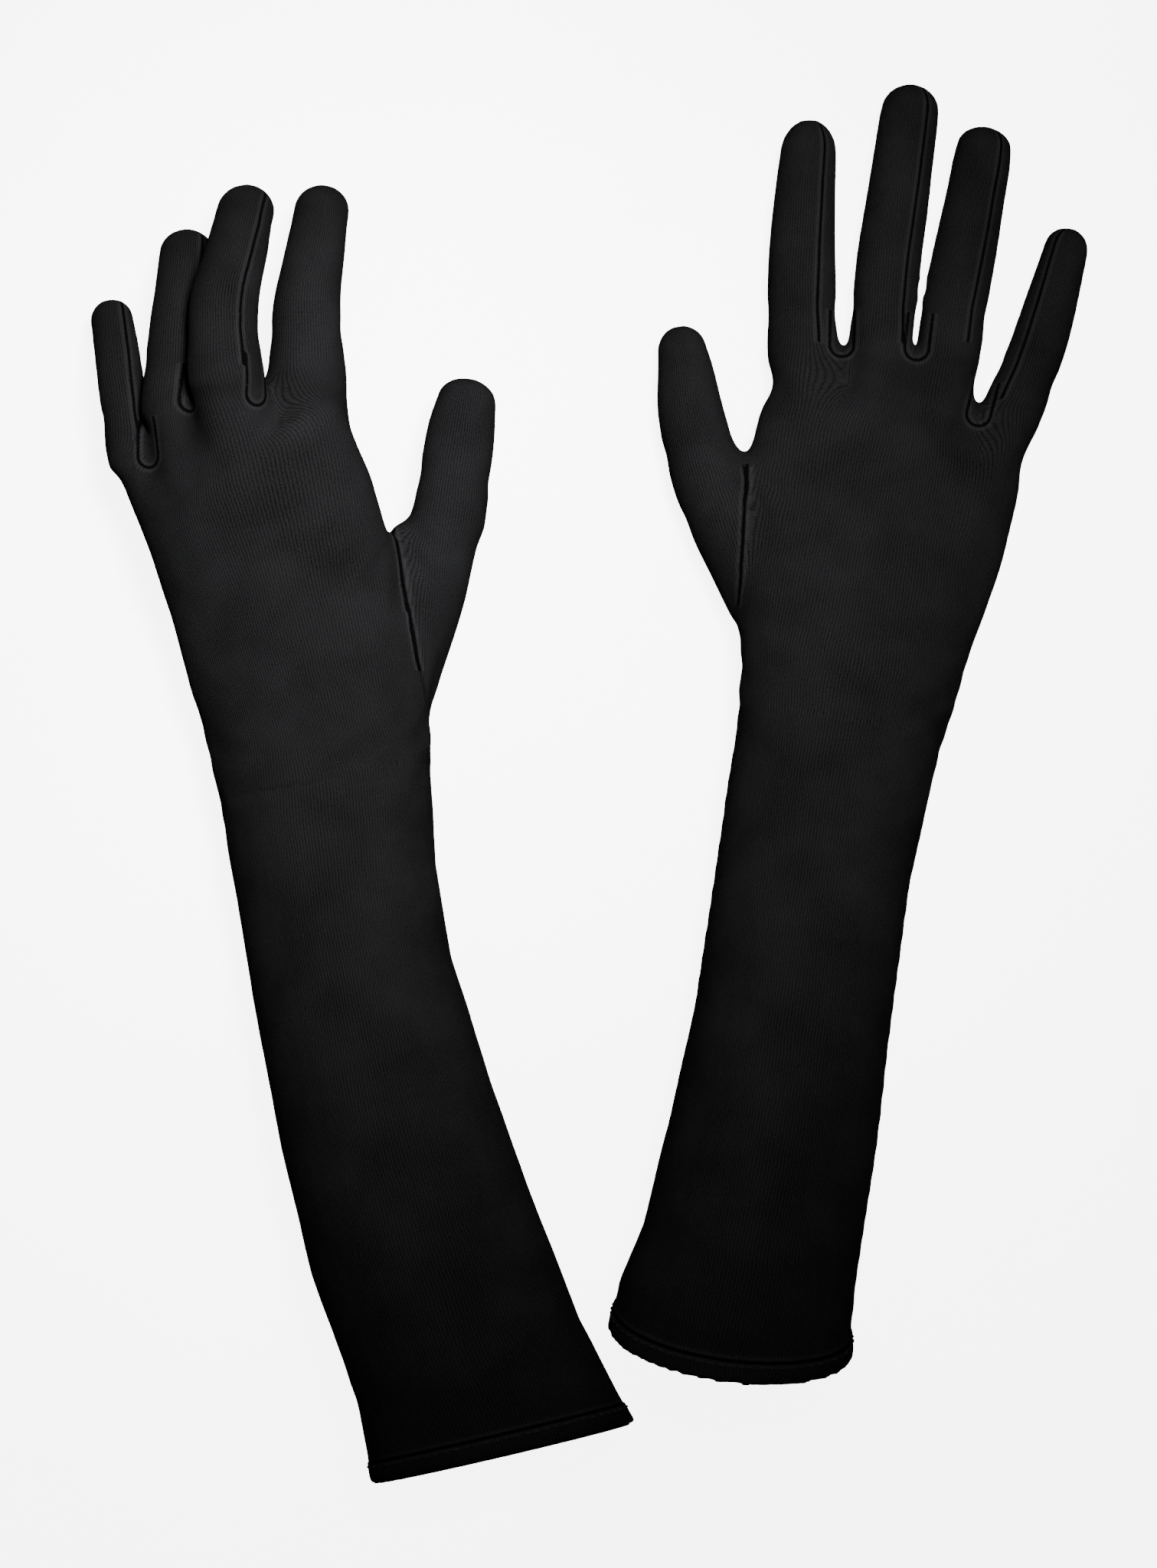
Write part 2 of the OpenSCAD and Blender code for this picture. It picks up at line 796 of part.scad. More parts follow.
module tip_shell(g, k) {
  difference() {
    intersection() {
      digit_body(g, k, 0);
      finger_cell(g, k, 3);
      behind(digit_list(g, k, 0)[4][0], 0, -70);
    }
    intersection() {
      digit_body(g, k, wall);
      above(wall);
    }
  }
}

module base_main(g, k) {
  color([0.05, 0.05, 0.06]) difference() {
    base_shell(g, k);
    strip_zone(g, k, 2);
  }
}

module base_strips(g, k) {
  color([0.07, 0.07, 0.08]) intersection() {
    base_shell(g, k);
    strip_zone(g, k, 2);
  }
}

module tip_main(g, k) {
  color([0.05, 0.05, 0.06]) difference() {
    tip_shell(g, k);
    strip_zone(g, k, 5);
  }
}

module tip_strips(g, k) {
  color([0.07, 0.07, 0.08]) intersection() {
    tip_shell(g, k);
    strip_zone(g, k, 5);
  }
}

// ---- What is drawn ----

hem(LEFT);  // left_hem
hem_stitching(LEFT);  // left_hem_stitching
sleeve(LEFT);  // left_sleeve
wrist(LEFT);  // left_wrist
hand(LEFT);  // left_hand
thumb_root(LEFT);  // left_thumb_root
base_main(LEFT, THUMB);  // left_thumb_base
tip_main(LEFT, THUMB);  // left_thumb_tip
base_main(LEFT, INDEX);  // left_index_base
tip_main(LEFT, INDEX);  // left_index_tip
base_strips(LEFT, INDEX);  // left_index_base_strip
tip_strips(LEFT, INDEX);  // left_index_tip_strip
base_main(LEFT, MIDDLE);  // left_middle_base
tip_main(LEFT, MIDDLE);  // left_middle_tip
base_strips(LEFT, MIDDLE);  // left_middle_base_strips
tip_strips(LEFT, MIDDLE);  // left_middle_tip_strips
base_main(LEFT, RING);  // left_ring_base
tip_main(LEFT, RING);  // left_ring_tip
base_strips(LEFT, RING);  // left_ring_base_strips
tip_strips(LEFT, RING);  // left_ring_tip_strips
base_main(LEFT, LITTLE);  // left_little_base
tip_main(LEFT, LITTLE);  // left_little_tip
base_strips(LEFT, LITTLE);  // left_little_base_strip
tip_strips(LEFT, LITTLE);  // left_little_tip_strip
hem(RIGHT);  // right_hem
hem_stitching(RIGHT);  // right_hem_stitching
sleeve(RIGHT);  // right_sleeve
wrist(RIGHT);  // right_wrist
hand(RIGHT);  // right_hand
thumb_root(RIGHT);  // right_thumb_root
base_main(RIGHT, THUMB);  // right_thumb_base
tip_main(RIGHT, THUMB);  // right_thumb_tip
base_main(RIGHT, INDEX);  // right_index_base
tip_main(RIGHT, INDEX);  // right_index_tip
base_strips(RIGHT, INDEX);  // right_index_base_strip
tip_strips(RIGHT, INDEX);  // right_index_tip_strip
base_main(RIGHT, MIDDLE);  // right_middle_base
tip_main(RIGHT, MIDDLE);  // right_middle_tip
base_strips(RIGHT, MIDDLE);  // right_middle_base_strips
tip_strips(RIGHT, MIDDLE);  // right_middle_tip_strips
base_main(RIGHT, RING);  // right_ring_base
tip_main(RIGHT, RING);  // right_ring_tip
base_strips(RIGHT, RING);  // right_ring_base_strips
tip_strips(RIGHT, RING);  // right_ring_tip_strips
base_main(RIGHT, LITTLE);  // right_little_base
tip_main(RIGHT, LITTLE);  // right_little_tip
base_strips(RIGHT, LITTLE);  // right_little_base_strip
tip_strips(RIGHT, LITTLE);  // right_little_tip_strip
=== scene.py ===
"""A pair of elbow-length gloves in fine black knitted cloth.

Each glove is one smooth skin grown over its CAD nodes, cut along the real
seams and joints into the sewn pieces. Lengths are millimetres until a mesh is
made, when they become metres.
"""

import json
import math

import bpy
import numpy as np
import openvdb as vdb
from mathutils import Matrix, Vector, noise
from mathutils.bvhtree import BVHTree


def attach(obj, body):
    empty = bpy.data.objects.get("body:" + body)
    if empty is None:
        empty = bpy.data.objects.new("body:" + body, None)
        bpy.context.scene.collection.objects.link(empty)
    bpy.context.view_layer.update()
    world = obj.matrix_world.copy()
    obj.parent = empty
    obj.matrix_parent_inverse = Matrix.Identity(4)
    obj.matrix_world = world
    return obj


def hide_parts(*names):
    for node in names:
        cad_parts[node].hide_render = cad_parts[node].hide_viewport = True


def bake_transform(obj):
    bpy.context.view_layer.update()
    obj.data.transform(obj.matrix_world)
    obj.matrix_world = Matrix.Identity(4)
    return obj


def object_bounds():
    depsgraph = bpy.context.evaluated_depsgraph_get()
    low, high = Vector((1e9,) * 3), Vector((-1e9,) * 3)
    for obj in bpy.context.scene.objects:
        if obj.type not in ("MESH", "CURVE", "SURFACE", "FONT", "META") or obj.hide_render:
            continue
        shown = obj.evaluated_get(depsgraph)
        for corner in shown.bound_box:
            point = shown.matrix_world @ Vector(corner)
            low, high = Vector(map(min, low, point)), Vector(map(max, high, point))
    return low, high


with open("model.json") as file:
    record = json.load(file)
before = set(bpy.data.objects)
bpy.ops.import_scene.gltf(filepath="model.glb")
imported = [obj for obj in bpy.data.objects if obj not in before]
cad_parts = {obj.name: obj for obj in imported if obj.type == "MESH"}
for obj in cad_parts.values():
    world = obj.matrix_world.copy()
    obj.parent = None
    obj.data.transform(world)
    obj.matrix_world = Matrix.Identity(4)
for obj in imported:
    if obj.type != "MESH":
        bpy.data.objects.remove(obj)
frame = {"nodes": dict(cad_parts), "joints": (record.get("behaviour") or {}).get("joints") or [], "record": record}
CAD_BOX = [list(corner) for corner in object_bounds()]
RECORD = frame["record"]

# ---- Cloth and sewing, in millimetres ----
WALL = 0.8
HEM_DEPTH = 6.0
HEM_PROUD = 0.3
HEM_INNER = 0.7
VOXEL = 1.0
# How far the skin is grown, then shrunk, to bridge the CAD clearances
CLOSING = 0.8
SMOOTHING_ROUNDS = 34
HAND_ROUNDS = 36
# How softly a finger grows out of the hand
SOFTNESS = 3.0
# The narrowest gap left between two neighbouring fingers
FINGER_GAP = 1.5
# A digit's sections start this far inside the hand, are blurred this much, and
# one in this many is kept for the cloth's lines
RUN_BEHIND = 12
RUN_BLUR = 3.0
RUN_STEP = 4
# How deep beside a finger the gap to its neighbour may be cut
GAP_DEPTH = 2.5
# Zone each side of a joint over which the cloth bends
ROOT_ZONE = (-3.0, 7.0)
MIDDLE_ZONE = (-5.5, 6.0)
WRIST_ZONE = (-22.0, 22.0)
# The cloth's lines narrow no further than this share towards a tip
TIP_SHARE = 0.72
# Cloth within this many half widths of the thumb's axis belongs to it
THUMB_REACH = 1.32
# Radius of the seam that goes round each finger crotch
CROTCH_SEAM = 3.6
# How far that seam runs up the fingers' sides, and how wide it may be
CROTCH_UP = 12
CROTCH_WIDE = 14
# How far each finger crotch lies behind the CAD web's front
CROTCH_BACK = {
    ("left", "index"): 10.0,
    ("left", "middle"): 4.0,
    ("left", "ring"): 8.0,
    ("right", "index"): 0.0,
    ("right", "middle"): 7.0,
    ("right", "ring"): 3.0,
}
# How far the seam under a crotch is set towards the next finger
CROTCH_ASIDE = {
    ("left", "index"): 9.0,
    ("left", "middle"): -6.0,
    ("left", "ring"): -3.0,
    ("right", "index"): 0.0,
    ("right", "middle"): 0.0,
    ("right", "ring"): 2.0,
}
# Turn about a finger's axis at which a low seam runs, in radians
LOW_SEAM = 1.5
# The thumb's seam is looked for this near the thumb piece and the hand
THUMB_NEAR = 12.0
HAND_NEAR = 30.0
# A seam value that means no seam is near
NO_SEAM = 9.0
STITCH_PITCH = 3.1
# Knitted wales and rows to each millimetre, the rows before their zigzag
WALES = 1.25
ROWS = 1.7

GLOVES = ("left", "right")
FINGERS = ("index", "middle", "ring", "little")
DIGITS = ("thumb",) + FINGERS


# ---- Small helpers ----
def unit(v):
    v = np.asarray(v, float)
    return v / np.linalg.norm(v)


def smooth_step(x, lo, hi):
    t = np.clip((x - lo) / (hi - lo), 0, 1)
    return t * t * (3 - 2 * t)


def node_names(glove, digit=None, part=None, strips=False):
    """CAD nodes of one glove, or of one digit's base or tip."""
    if digit is None:
        return [n for n in frame["nodes"] if n.startswith(glove + "_")]
    stem = f"{glove}_{digit}_{part}"
    wanted = (stem + "_strip", stem + "_strips") if strips else (stem,)
    return [n for n in frame["nodes"] if n in wanted]


def node_mesh(names):
    """Vertices in millimetres and triangles of some CAD nodes together."""
    verts, tris, start = [], [], 0
    for n in sorted(names):
        mesh = frame["nodes"][n].data
        mesh.calc_loop_triangles()
        co = np.zeros(len(mesh.vertices) * 3, np.float32)
        mesh.vertices.foreach_get("co", co)
        tri = np.zeros(len(mesh.loop_triangles) * 3, np.int32)
        mesh.loop_triangles.foreach_get("vertices", tri)
        verts.append(co.reshape(-1, 3) * 1000.0)
        tris.append(tri.reshape(-1, 3) + start)
        start += len(mesh.vertices)
    return np.vstack(verts).astype(float), np.vstack(tris)


def joint(name):
    """Hinge point in millimetres and side direction of a joint."""
    j = next(j for j in frame["joints"] if j["name"] == name)
    return np.array(j["pos_m"]) * 1000.0, -unit(j["axis"])


def mount(name):
    m = next(m for m in RECORD["mounts"] if m["name"] == name)
    return np.array(m["pos_m"]) * 1000.0, unit(m["axis"])


def section(verts, tris, p, f, u):
    """Centre, half width and half depth where a plane cuts some triangles."""
    v = np.cross(u, f)
    d = (verts - p) @ f
    pts = []
    for a, b in ((0, 1), (1, 2), (2, 0)):
        i, j = tris[:, a], tris[:, b]
        hit = d[i] * d[j] < 0
        i, j = i[hit], j[hit]
        t = (d[i] / (d[i] - d[j]))[:, None]
        pts.append(verts[i] * (1 - t) + verts[j] * t)
    pts = np.vstack(pts)
    if len(pts) < 6:
        return None
    x, y = (pts - p) @ u, (pts - p) @ v
    centre = p + u * (x.max() + x.min()) / 2 + v * (y.max() + y.min()) / 2
    return centre, (x.max() - x.min()) / 2, (y.max() - y.min()) / 2


class Limb:
    """A run of elliptic sections measured on the CAD nodes."""

    def __init__(self, stations):
        self.c = np.array([s[0] for s in stations])
        self.w = np.array([s[1] for s in stations])
        self.h = np.array([s[2] for s in stations])
        self.u = np.array([s[3] for s in stations])
        # A rounded tip keeps most of the limb's width for the cloth's lines.
        self.w = np.maximum(self.w, TIP_SHARE * self.w[0])
        self.h = np.maximum(self.h, TIP_SHARE * self.h[0])
        step = np.linalg.norm(np.diff(self.c, axis=0), axis=1)
        self.s = np.concatenate([[0], np.cumsum(step)])

    def locate(self, pts):
        """Station length, across, up, half width and half depth for each point."""
        best = np.full(len(pts), 1e9)
        out = np.zeros((len(pts), 5))
        for i in range(len(self.c) - 1):
            a, b = self.c[i], self.c[i + 1]
            d = b - a
            t = ((pts - a) @ d) / (d @ d)
            lo = -9.0 if i == 0 else 0.0
            hi = 9.0 if i == len(self.c) - 2 else 1.0
            t = np.clip(t, lo, hi)
            q = a + t[:, None] * d
            f = unit(d)
            k = np.clip(t, 0, 1)
            u = self.u[i] * (1 - k[:, None]) + self.u[i + 1] * k[:, None]
            u = u - (u @ f)[:, None] * f
            u /= np.linalg.norm(u, axis=1)[:, None]
            v = np.cross(u, f)
            x = ((pts - q) * u).sum(1)
            y = ((pts - q) * v).sum(1)
            w = self.w[i] * (1 - k) + self.w[i + 1] * k
            h = self.h[i] * (1 - k) + self.h[i + 1] * k
            off = np.linalg.norm(pts - q, axis=1)
            near = off < best - 1e-9
            best[near] = off[near]
            s = self.s[i] + t * np.linalg.norm(d)
            cols = np.stack([s, x, y, w, h], 1)
            out[near] = cols[near]
        return out

    def relative(self, pts):
        _, x, y, w, h = self.locate(pts).T
        return np.sqrt((x / w) ** 2 + (y / h) ** 2)


# ---- Measuring one glove ----
def smooth_run(stations, tip_verts):
    """Sections every millimetre from inside the hand to a rounded tip."""
    c, w, h, u = (np.array([s[k] for s in stations]) for k in range(4))
    full = (w >= 0.9 * np.median(w[3:])) & (h >= 0.9 * np.median(h[3:]))
    last = np.nonzero(full)[0].max()
    ahead = unit(c[last] - c[last - 2])
    cap = max(((tip_verts - c[last]) @ ahead).max(), 3.0)
    step = np.linalg.norm(np.diff(c, axis=0), axis=1)
    s = np.concatenate([[0], np.cumsum(step)])
    start = unit(c[1] - c[0])
    s = np.concatenate([[-RUN_BEHIND], s[: last + 1]])
    c = np.vstack([c[0] - start * RUN_BEHIND, c[: last + 1]])
    w, h = (np.concatenate([[x[0]], x[: last + 1]]) for x in (w, h))
    u = np.vstack([u[0], u[: last + 1]])
    at = np.arange(s[0], s[-1] + 0.5, 1.0)
    columns = np.hstack([c, w[:, None], h[:, None], u])
    rows = np.stack([np.interp(at, s, col) for col in columns.T], 1)
    reach = int(3 * RUN_BLUR)
    kernel = np.exp(-0.5 * (np.arange(-reach, reach + 1) / RUN_BLUR) ** 2)
    kernel /= kernel.sum()
    k = np.arange(reach, 0, -1)[:, None]
    before = rows[0] - (rows[1] - rows[0]) * k
    after = rows[-1] + (rows[-1] - rows[-3]) / 2 * k[::-1]
    padded = np.vstack([before, rows, after])
    rows = np.stack([np.convolve(col, kernel, "valid") for col in padded.T], 1)
    end = rows[-1]
    ahead = unit(rows[-1, :3] - rows[-4, :3])
    out = [(r[:3], r[3], r[4], unit(r[5:])) for r in rows]
    for a in np.linspace(0, math.pi / 2, 12)[1:]:
        share = max(math.cos(a), 0.02)
        tip = end[:3] + ahead * cap * math.sin(a)
        out.append((tip, end[3] * share, end[4] * share, unit(end[5:])))
    return out


def strip_edges(limb, verts, digit):
    """For each side with a strip: its upper and lower edge along the limb,
    as turns about the limb's axis. The seam a strip has on the far side
    of its finger runs lower down, out of sight from above."""
    s, x, y, w, h = limb.locate(verts).T
    turn = np.arctan2(x / w, y / h)
    out = []
    for side in (1.0, -1.0):
        mine = turn * side > 0.15
        if mine.sum() < 20:
            continue
        cuts = np.quantile(s[mine], np.linspace(0.02, 0.98, 8))
        at, lo, hi = [], [], []
        for a, b in zip(cuts, cuts[1:]):
            here = mine & (s >= a) & (s <= b)
            at.append((a + b) / 2)
            lo.append(np.abs(turn[here]).min())
            hi.append(np.abs(turn[here]).max())
        at, lo, hi = np.array(at), np.array(lo), np.array(hi)
        if limb.u[0][0] * side < 0 and digit != ("right", "little"):
            lo = np.maximum(lo, LOW_SEAM)
            hi = np.maximum(hi, lo + 0.5)
        out.append((side, np.polyfit(at, lo, 1), np.polyfit(at, hi, 1), at[0], at[-1]))
    return out


def strip_field(q, strips):
    """How far inside a strip each located point is, in millimetres."""
    s, x, y, w, h = q.T
    turn = np.arctan2(x / w, y / h)
    best = np.full(len(s), -9.0)
    for side, lo, hi, a, b in strips:
        at = np.clip(s, a, b)
        t = turn * side
        t = np.where(t < -math.pi / 2, t + 2 * math.pi, t)
        inside = np.minimum(t - np.polyval(lo, at), np.polyval(hi, at) - t)
        best = np.maximum(best, inside * np.sqrt(w * h))
    return best


class Glove:
    def __init__(self, side):
        self.side = side
        self.hem_point, out = mount(f"{side}_arm_opening")
        self.hem_in = -out
        self.wrist_point, self.wrist_side = joint(f"{side}_wrist_bend")
        self.wrist_ahead = unit(np.cross((0, 0, 1), self.wrist_side))
        self.digit = {d: self.measure_digit(d) for d in DIGITS}
        self.arm = self.measure_arm()

    def measure_digit(self, d):
        side = self.side
        root, u0 = joint(f"{side}_{d}_root_bend")
        mid, u1 = joint(f"{side}_{d}_middle_bend")
        f = unit(mid - root)
        length = np.linalg.norm(mid - root)
        base = node_mesh(
            node_names(side, d, "base") + node_names(side, d, "base", True)
        )
        tip = node_mesh(node_names(side, d, "tip") + node_names(side, d, "tip", True))
        stations = []
        for s in (3.0, length / 2, length - 3.0):
            hit = section(*base, root + f * s, f, u0)
            stations.append((*hit, u0))
        at, ahead = mid + f * 6.0, f
        while True:
            u = unit(u1 - (u1 @ ahead) * ahead)
            hit = section(*tip, at, ahead, u)
            if hit is None or hit[1] < 1.0:
                break
            ahead = unit(hit[0] - stations[-1][0])
            stations.append((*hit, u))
            at = hit[0] + ahead * 3.0
        run = smooth_run(stations, tip[0])
        limb = Limb(run[:-1:RUN_STEP] + [run[-1]])
        sewn = node_names(side, d, "base", True) + node_names(side, d, "tip", True)
        return {
            "root": root,
            "mid": mid,
            "f": f,
            "f1": unit(stations[4][0] - stations[1][0]),
            "stations": stations,
            "run": run,
            "limb": limb,
            "strips": strip_edges(limb, node_mesh(sewn)[0], (side, d)) if sewn else [],
        }

    def measure_arm(self):
        """The sleeve's sections, then straight on to the knuckles."""
        side = self.side
        mesh = node_mesh([f"{side}_hem", f"{side}_sleeve", f"{side}_wrist"])
        knuckles = np.mean([self.digit[d]["root"] for d in FINGERS], axis=0)
        start = self.hem_point
        f = unit((self.wrist_point - start) * (1, 1, 0))
        stations = []
        reach = np.linalg.norm((self.wrist_point - start) * (1, 1, 0))
        for s in np.linspace(24.0, reach - 6.0, 9):
            u = unit(np.cross(f, (0, 0, 1)))
            hit = section(*mesh, start + f * s, f, u)
            stations.append((*hit, u))
        wide = [self.digit[d]["stations"][0] for d in ("index", "little")]
        w = np.linalg.norm(wide[0][0] - wide[1][0]) / 2 + wide[0][1]
        h = np.mean([self.digit[d]["stations"][0][2] for d in FINGERS]) * 1.3
        last = stations[-1]
        for t in (0.35, 0.7, 1.0):
            c = last[0] * (1 - t) + (knuckles + (0, 0, h * 0.7)) * t
            f = unit(knuckles - last[0])
            u = unit(np.cross(f, (0, 0, 1)))
            wide_here = last[1] + (w - last[1]) * t
            stations.append((c, wide_here, last[2] * (1 - t) + h * t, u))
        return Limb(stations)

    def crotch(self, a, b):
        """The web between two neighbouring digits, from the hand node."""
        da, db = self.digit[a], self.digit[b]
        f = unit(da["f"] + db["f"])
        m = (da["root"] + db["root"]) / 2
        u = unit(db["root"] - da["root"])
        u = unit(u - (u @ f) * f)
        verts = node_mesh([f"{self.side}_hand"])[0]
        near = np.abs((verts - m) @ u) < 1.3
        along = ((verts - m) @ f)[near]
        along = along[along < 4.0]
        return m + f * (along.max() - CROTCH_BACK[self.side, a]), f, u


# ---- Growing the skin ----
def tube(run, sides=40):
    """A closed tube of elliptic sections: vertices and triangles."""
    c = np.array([r[0] for r in run])
    f = np.gradient(c, axis=0)
    f /= np.linalg.norm(f, axis=1)[:, None]
    a = 2 * np.pi * np.arange(sides) / sides
    rings = []
    for (centre, w, h, u), ahead in zip(run, f):
        u = unit(u - (u @ ahead) * ahead)
        v = np.cross(u, ahead)
        rings.append(centre + np.outer(np.cos(a) * w, u) + np.outer(np.sin(a) * h, v))
    verts = np.vstack(rings + [c[:1], c[-1:]])
    i, k = np.meshgrid(np.arange(len(run) - 1), np.arange(sides), indexing="ij")
    p, q = i * sides + k, i * sides + (k + 1) % sides
    tris = [
        np.stack([p, q, q + sides], -1).reshape(-1, 3),
        np.stack([p, q + sides, p + sides], -1).reshape(-1, 3),
    ]
    k = np.arange(sides)
    near, far = len(verts) - 2, len(verts) - 1
    end = (len(run) - 1) * sides
    tris.append(np.stack([(k + 1) % sides, k, near + 0 * k], 1))
    tris.append(np.stack([end + k, end + (k + 1) % sides, far + 0 * k], 1))
    return verts, np.vstack(tris)


def islands(count, faces):
    """A label for each vertex: the same on everything joined by faces."""
    label = np.arange(count)
    pairs = np.vstack([faces[:, [0, 1]], faces[:, [1, 2]], faces[:, [2, 3]]])
    while True:
        low = np.minimum(label[pairs[:, 0]], label[pairs[:, 1]])
        new = label.copy()
        np.minimum.at(new, pairs[:, 0], low)
        np.minimum.at(new, pairs[:, 1], low)
        new = new[new]
        if (new == label).all():
            return label
        label = new


def outermost(pts, quads):
    """Only the closed surface that holds all the others."""
    label = islands(len(pts), quads)
    names, sizes = np.unique(label, return_counts=True)
    names = names[np.argsort(-sizes)[:12]]
    spans = [np.ptp(pts[label == name], axis=0).sum() for name in names]
    keep = label == names[int(np.argmax(spans))]
    index = np.cumsum(keep) - 1
    faces = quads[keep[quads[:, 0]]]
    return pts[keep], index[faces]


def grid_surface(values, corner, level):
    """Quads where an array of values crosses a level."""
    g = vdb.FloatGrid(background=float(values.max()))
    g.transform = vdb.createLinearTransform(voxelSize=VOXEL)
    g.copyFromArray(values.astype(np.float32), ijk=tuple(int(c) for c in corner))
    pts, quads = g.convertToQuads(isovalue=level)
    return pts.astype(float), quads.astype(np.int64)


def distance_array(pts, shape, corner, tris=None, quads=None):
    no_tris, no_quads = np.zeros((0, 3), np.uint32), np.zeros((0, 4), np.uint32)
    g = vdb.FloatGrid.createLevelSetFromPolygons(
        pts.astype(np.float32),
        triangles=no_tris if tris is None else tris.astype(np.uint32),
        quads=no_quads if quads is None else quads.astype(np.uint32),
        transform=vdb.createLinearTransform(voxelSize=VOXEL),
        halfWidth=4.0,
    )
    out = np.zeros(shape, np.float32)
    g.copyToArray(out, ijk=tuple(int(c) for c in corner))
    return out


def relax(pts, quads, rounds, steps=(0.6, -0.62)):
    """Smoothing: a pair of steps (Taubin's) keeps the volume."""
    e = np.vstack([quads[:, [i, (i + 1) % 4]] for i in range(4)])
    e = np.unique(np.sort(e, axis=1), axis=0)
    i = np.concatenate([e[:, 0], e[:, 1]])
    j = np.concatenate([e[:, 1], e[:, 0]])
    n = np.bincount(i, minlength=len(pts)).astype(float)
    for _ in range(rounds):
        for k in steps:
            mean = np.stack(
                [np.bincount(i, pts[j, a], len(pts)) / n for a in range(3)], 1
            )
            pts = pts + k * (mean - pts)
    return pts


def normals_of(pts, quads):
    n = np.cross(pts[quads[:, 2]] - pts[quads[:, 0]], pts[quads[:, 3]] - pts[quads[:, 1]])
    out = np.zeros_like(pts)
    for a in range(3):
        for k in range(4):
            out[:, a] += np.bincount(quads[:, k], n[:, a], len(pts))
    return out / (np.linalg.norm(out, axis=1)[:, None] + 1e-12)


def grow_skin(g):
    """One closed quad skin over all the nodes of a glove."""
    parts = ("hem", "sleeve", "wrist", "hand", "thumb_root")
    verts, tris = node_mesh([f"{g.side}_{part}" for part in parts])
    # A flat lid closes the arm's opening while the skin is grown.
    hem = node_mesh([f"{g.side}_hem"])[0]
    rim = hem[np.abs((hem - g.hem_point) @ g.hem_in) < 0.05]
    middle = rim.mean(0)
    u = unit(np.cross(g.hem_in, (0, 0, 1)))
    v = np.cross(u, g.hem_in)
    rim = rim[np.argsort(np.arctan2((rim - middle) @ v, (rim - middle) @ u))]
    start = len(verts)
    verts = np.vstack([verts, rim, middle[None]])
    k = np.arange(len(rim))
    lid = np.stack([start + k, start + (k + 1) % len(rim), start + len(rim) + 0 * k], 1)
    tris = np.vstack([tris, lid])
    tubes = {d: tube(g.digit[d]["run"]) for d in DIGITS}
    everything = np.vstack([verts] + [t[0] for t in tubes.values()])

    corner = np.floor(everything.min(0) / VOXEL) - 6
    shape = tuple((np.ceil(everything.max(0) / VOXEL) + 6 - corner).astype(int))
    # The digits' open ends are stopped up so that the hand closes too.
    caps = [tube(g.digit[d]["run"][: RUN_BEHIND + 1]) for d in DIGITS]
    for more, faces in caps:
        tris = np.vstack([tris, faces + len(verts)])
        verts = np.vstack([verts, more])
    field = np.abs(distance_array(verts, shape, corner, tris=tris))
    pts, quads = outermost(*grid_surface(field, corner, CLOSING))
    signed = distance_array(pts, shape, corner, quads=quads)
    field = signed + CLOSING

    where = {d: distance_array(tubes[d][0], shape, corner, tris=tubes[d][1]) for d in DIGITS}
    for d in DIGITS:
        # A soft union: the cloth spans the corner where a finger leaves.
        near = np.maximum(SOFTNESS - np.abs(field - where[d]), 0) / SOFTNESS
        field = np.minimum(field, where[d]) - near**2 * SOFTNESS / 4
    axes = [(np.arange(shape[k]) + corner[k]) * VOXEL for k in range(3)]
    for a, b in zip(FINGERS, FINGERS[1:]):
        web, f, _ = g.crotch(a, b)
        along = sum(
            f[k] * (axes[k] - web[k]).reshape([-1 if j == k else 1 for j in range(3)])
            for k in range(3)
        )
        gap = FINGER_GAP / 2 - np.abs(where[a] - where[b]) / 2
        gap = np.minimum(gap, GAP_DEPTH - np.minimum(where[a], where[b]))
        field = np.maximum(field, np.minimum(gap, along - 0.3))
    pts, quads = outermost(*grid_surface(field, corner, 0.0))
    if (normals_of(pts, quads) * (pts - pts.mean(0))).sum() < 0:
        quads = quads[:, ::-1]
    pts = relax(pts, quads, SMOOTHING_ROUNDS)
    # The hand and the knuckles are smoothed harder, but not the webs.
    soft = smooth_step((pts - g.wrist_point) @ g.wrist_ahead, -30.0, 0.0)
    for d in DIGITS:
        past = (pts - g.digit[d]["root"]) @ g.digit[d]["f"]
        mine = g.digit[d]["limb"].relative(pts) < 1.25
        soft = np.where(mine, soft * (1 - smooth_step(past, 6.0, 12.0)), soft)
    for a, b in zip(FINGERS, FINGERS[1:]):
        away = np.linalg.norm(pts - g.crotch(a, b)[0], axis=1)
        soft = soft * smooth_step(away, 4.0, 9.0)
    return relax(pts, quads, HAND_ROUNDS, (0.5 * soft[:, None],)), quads


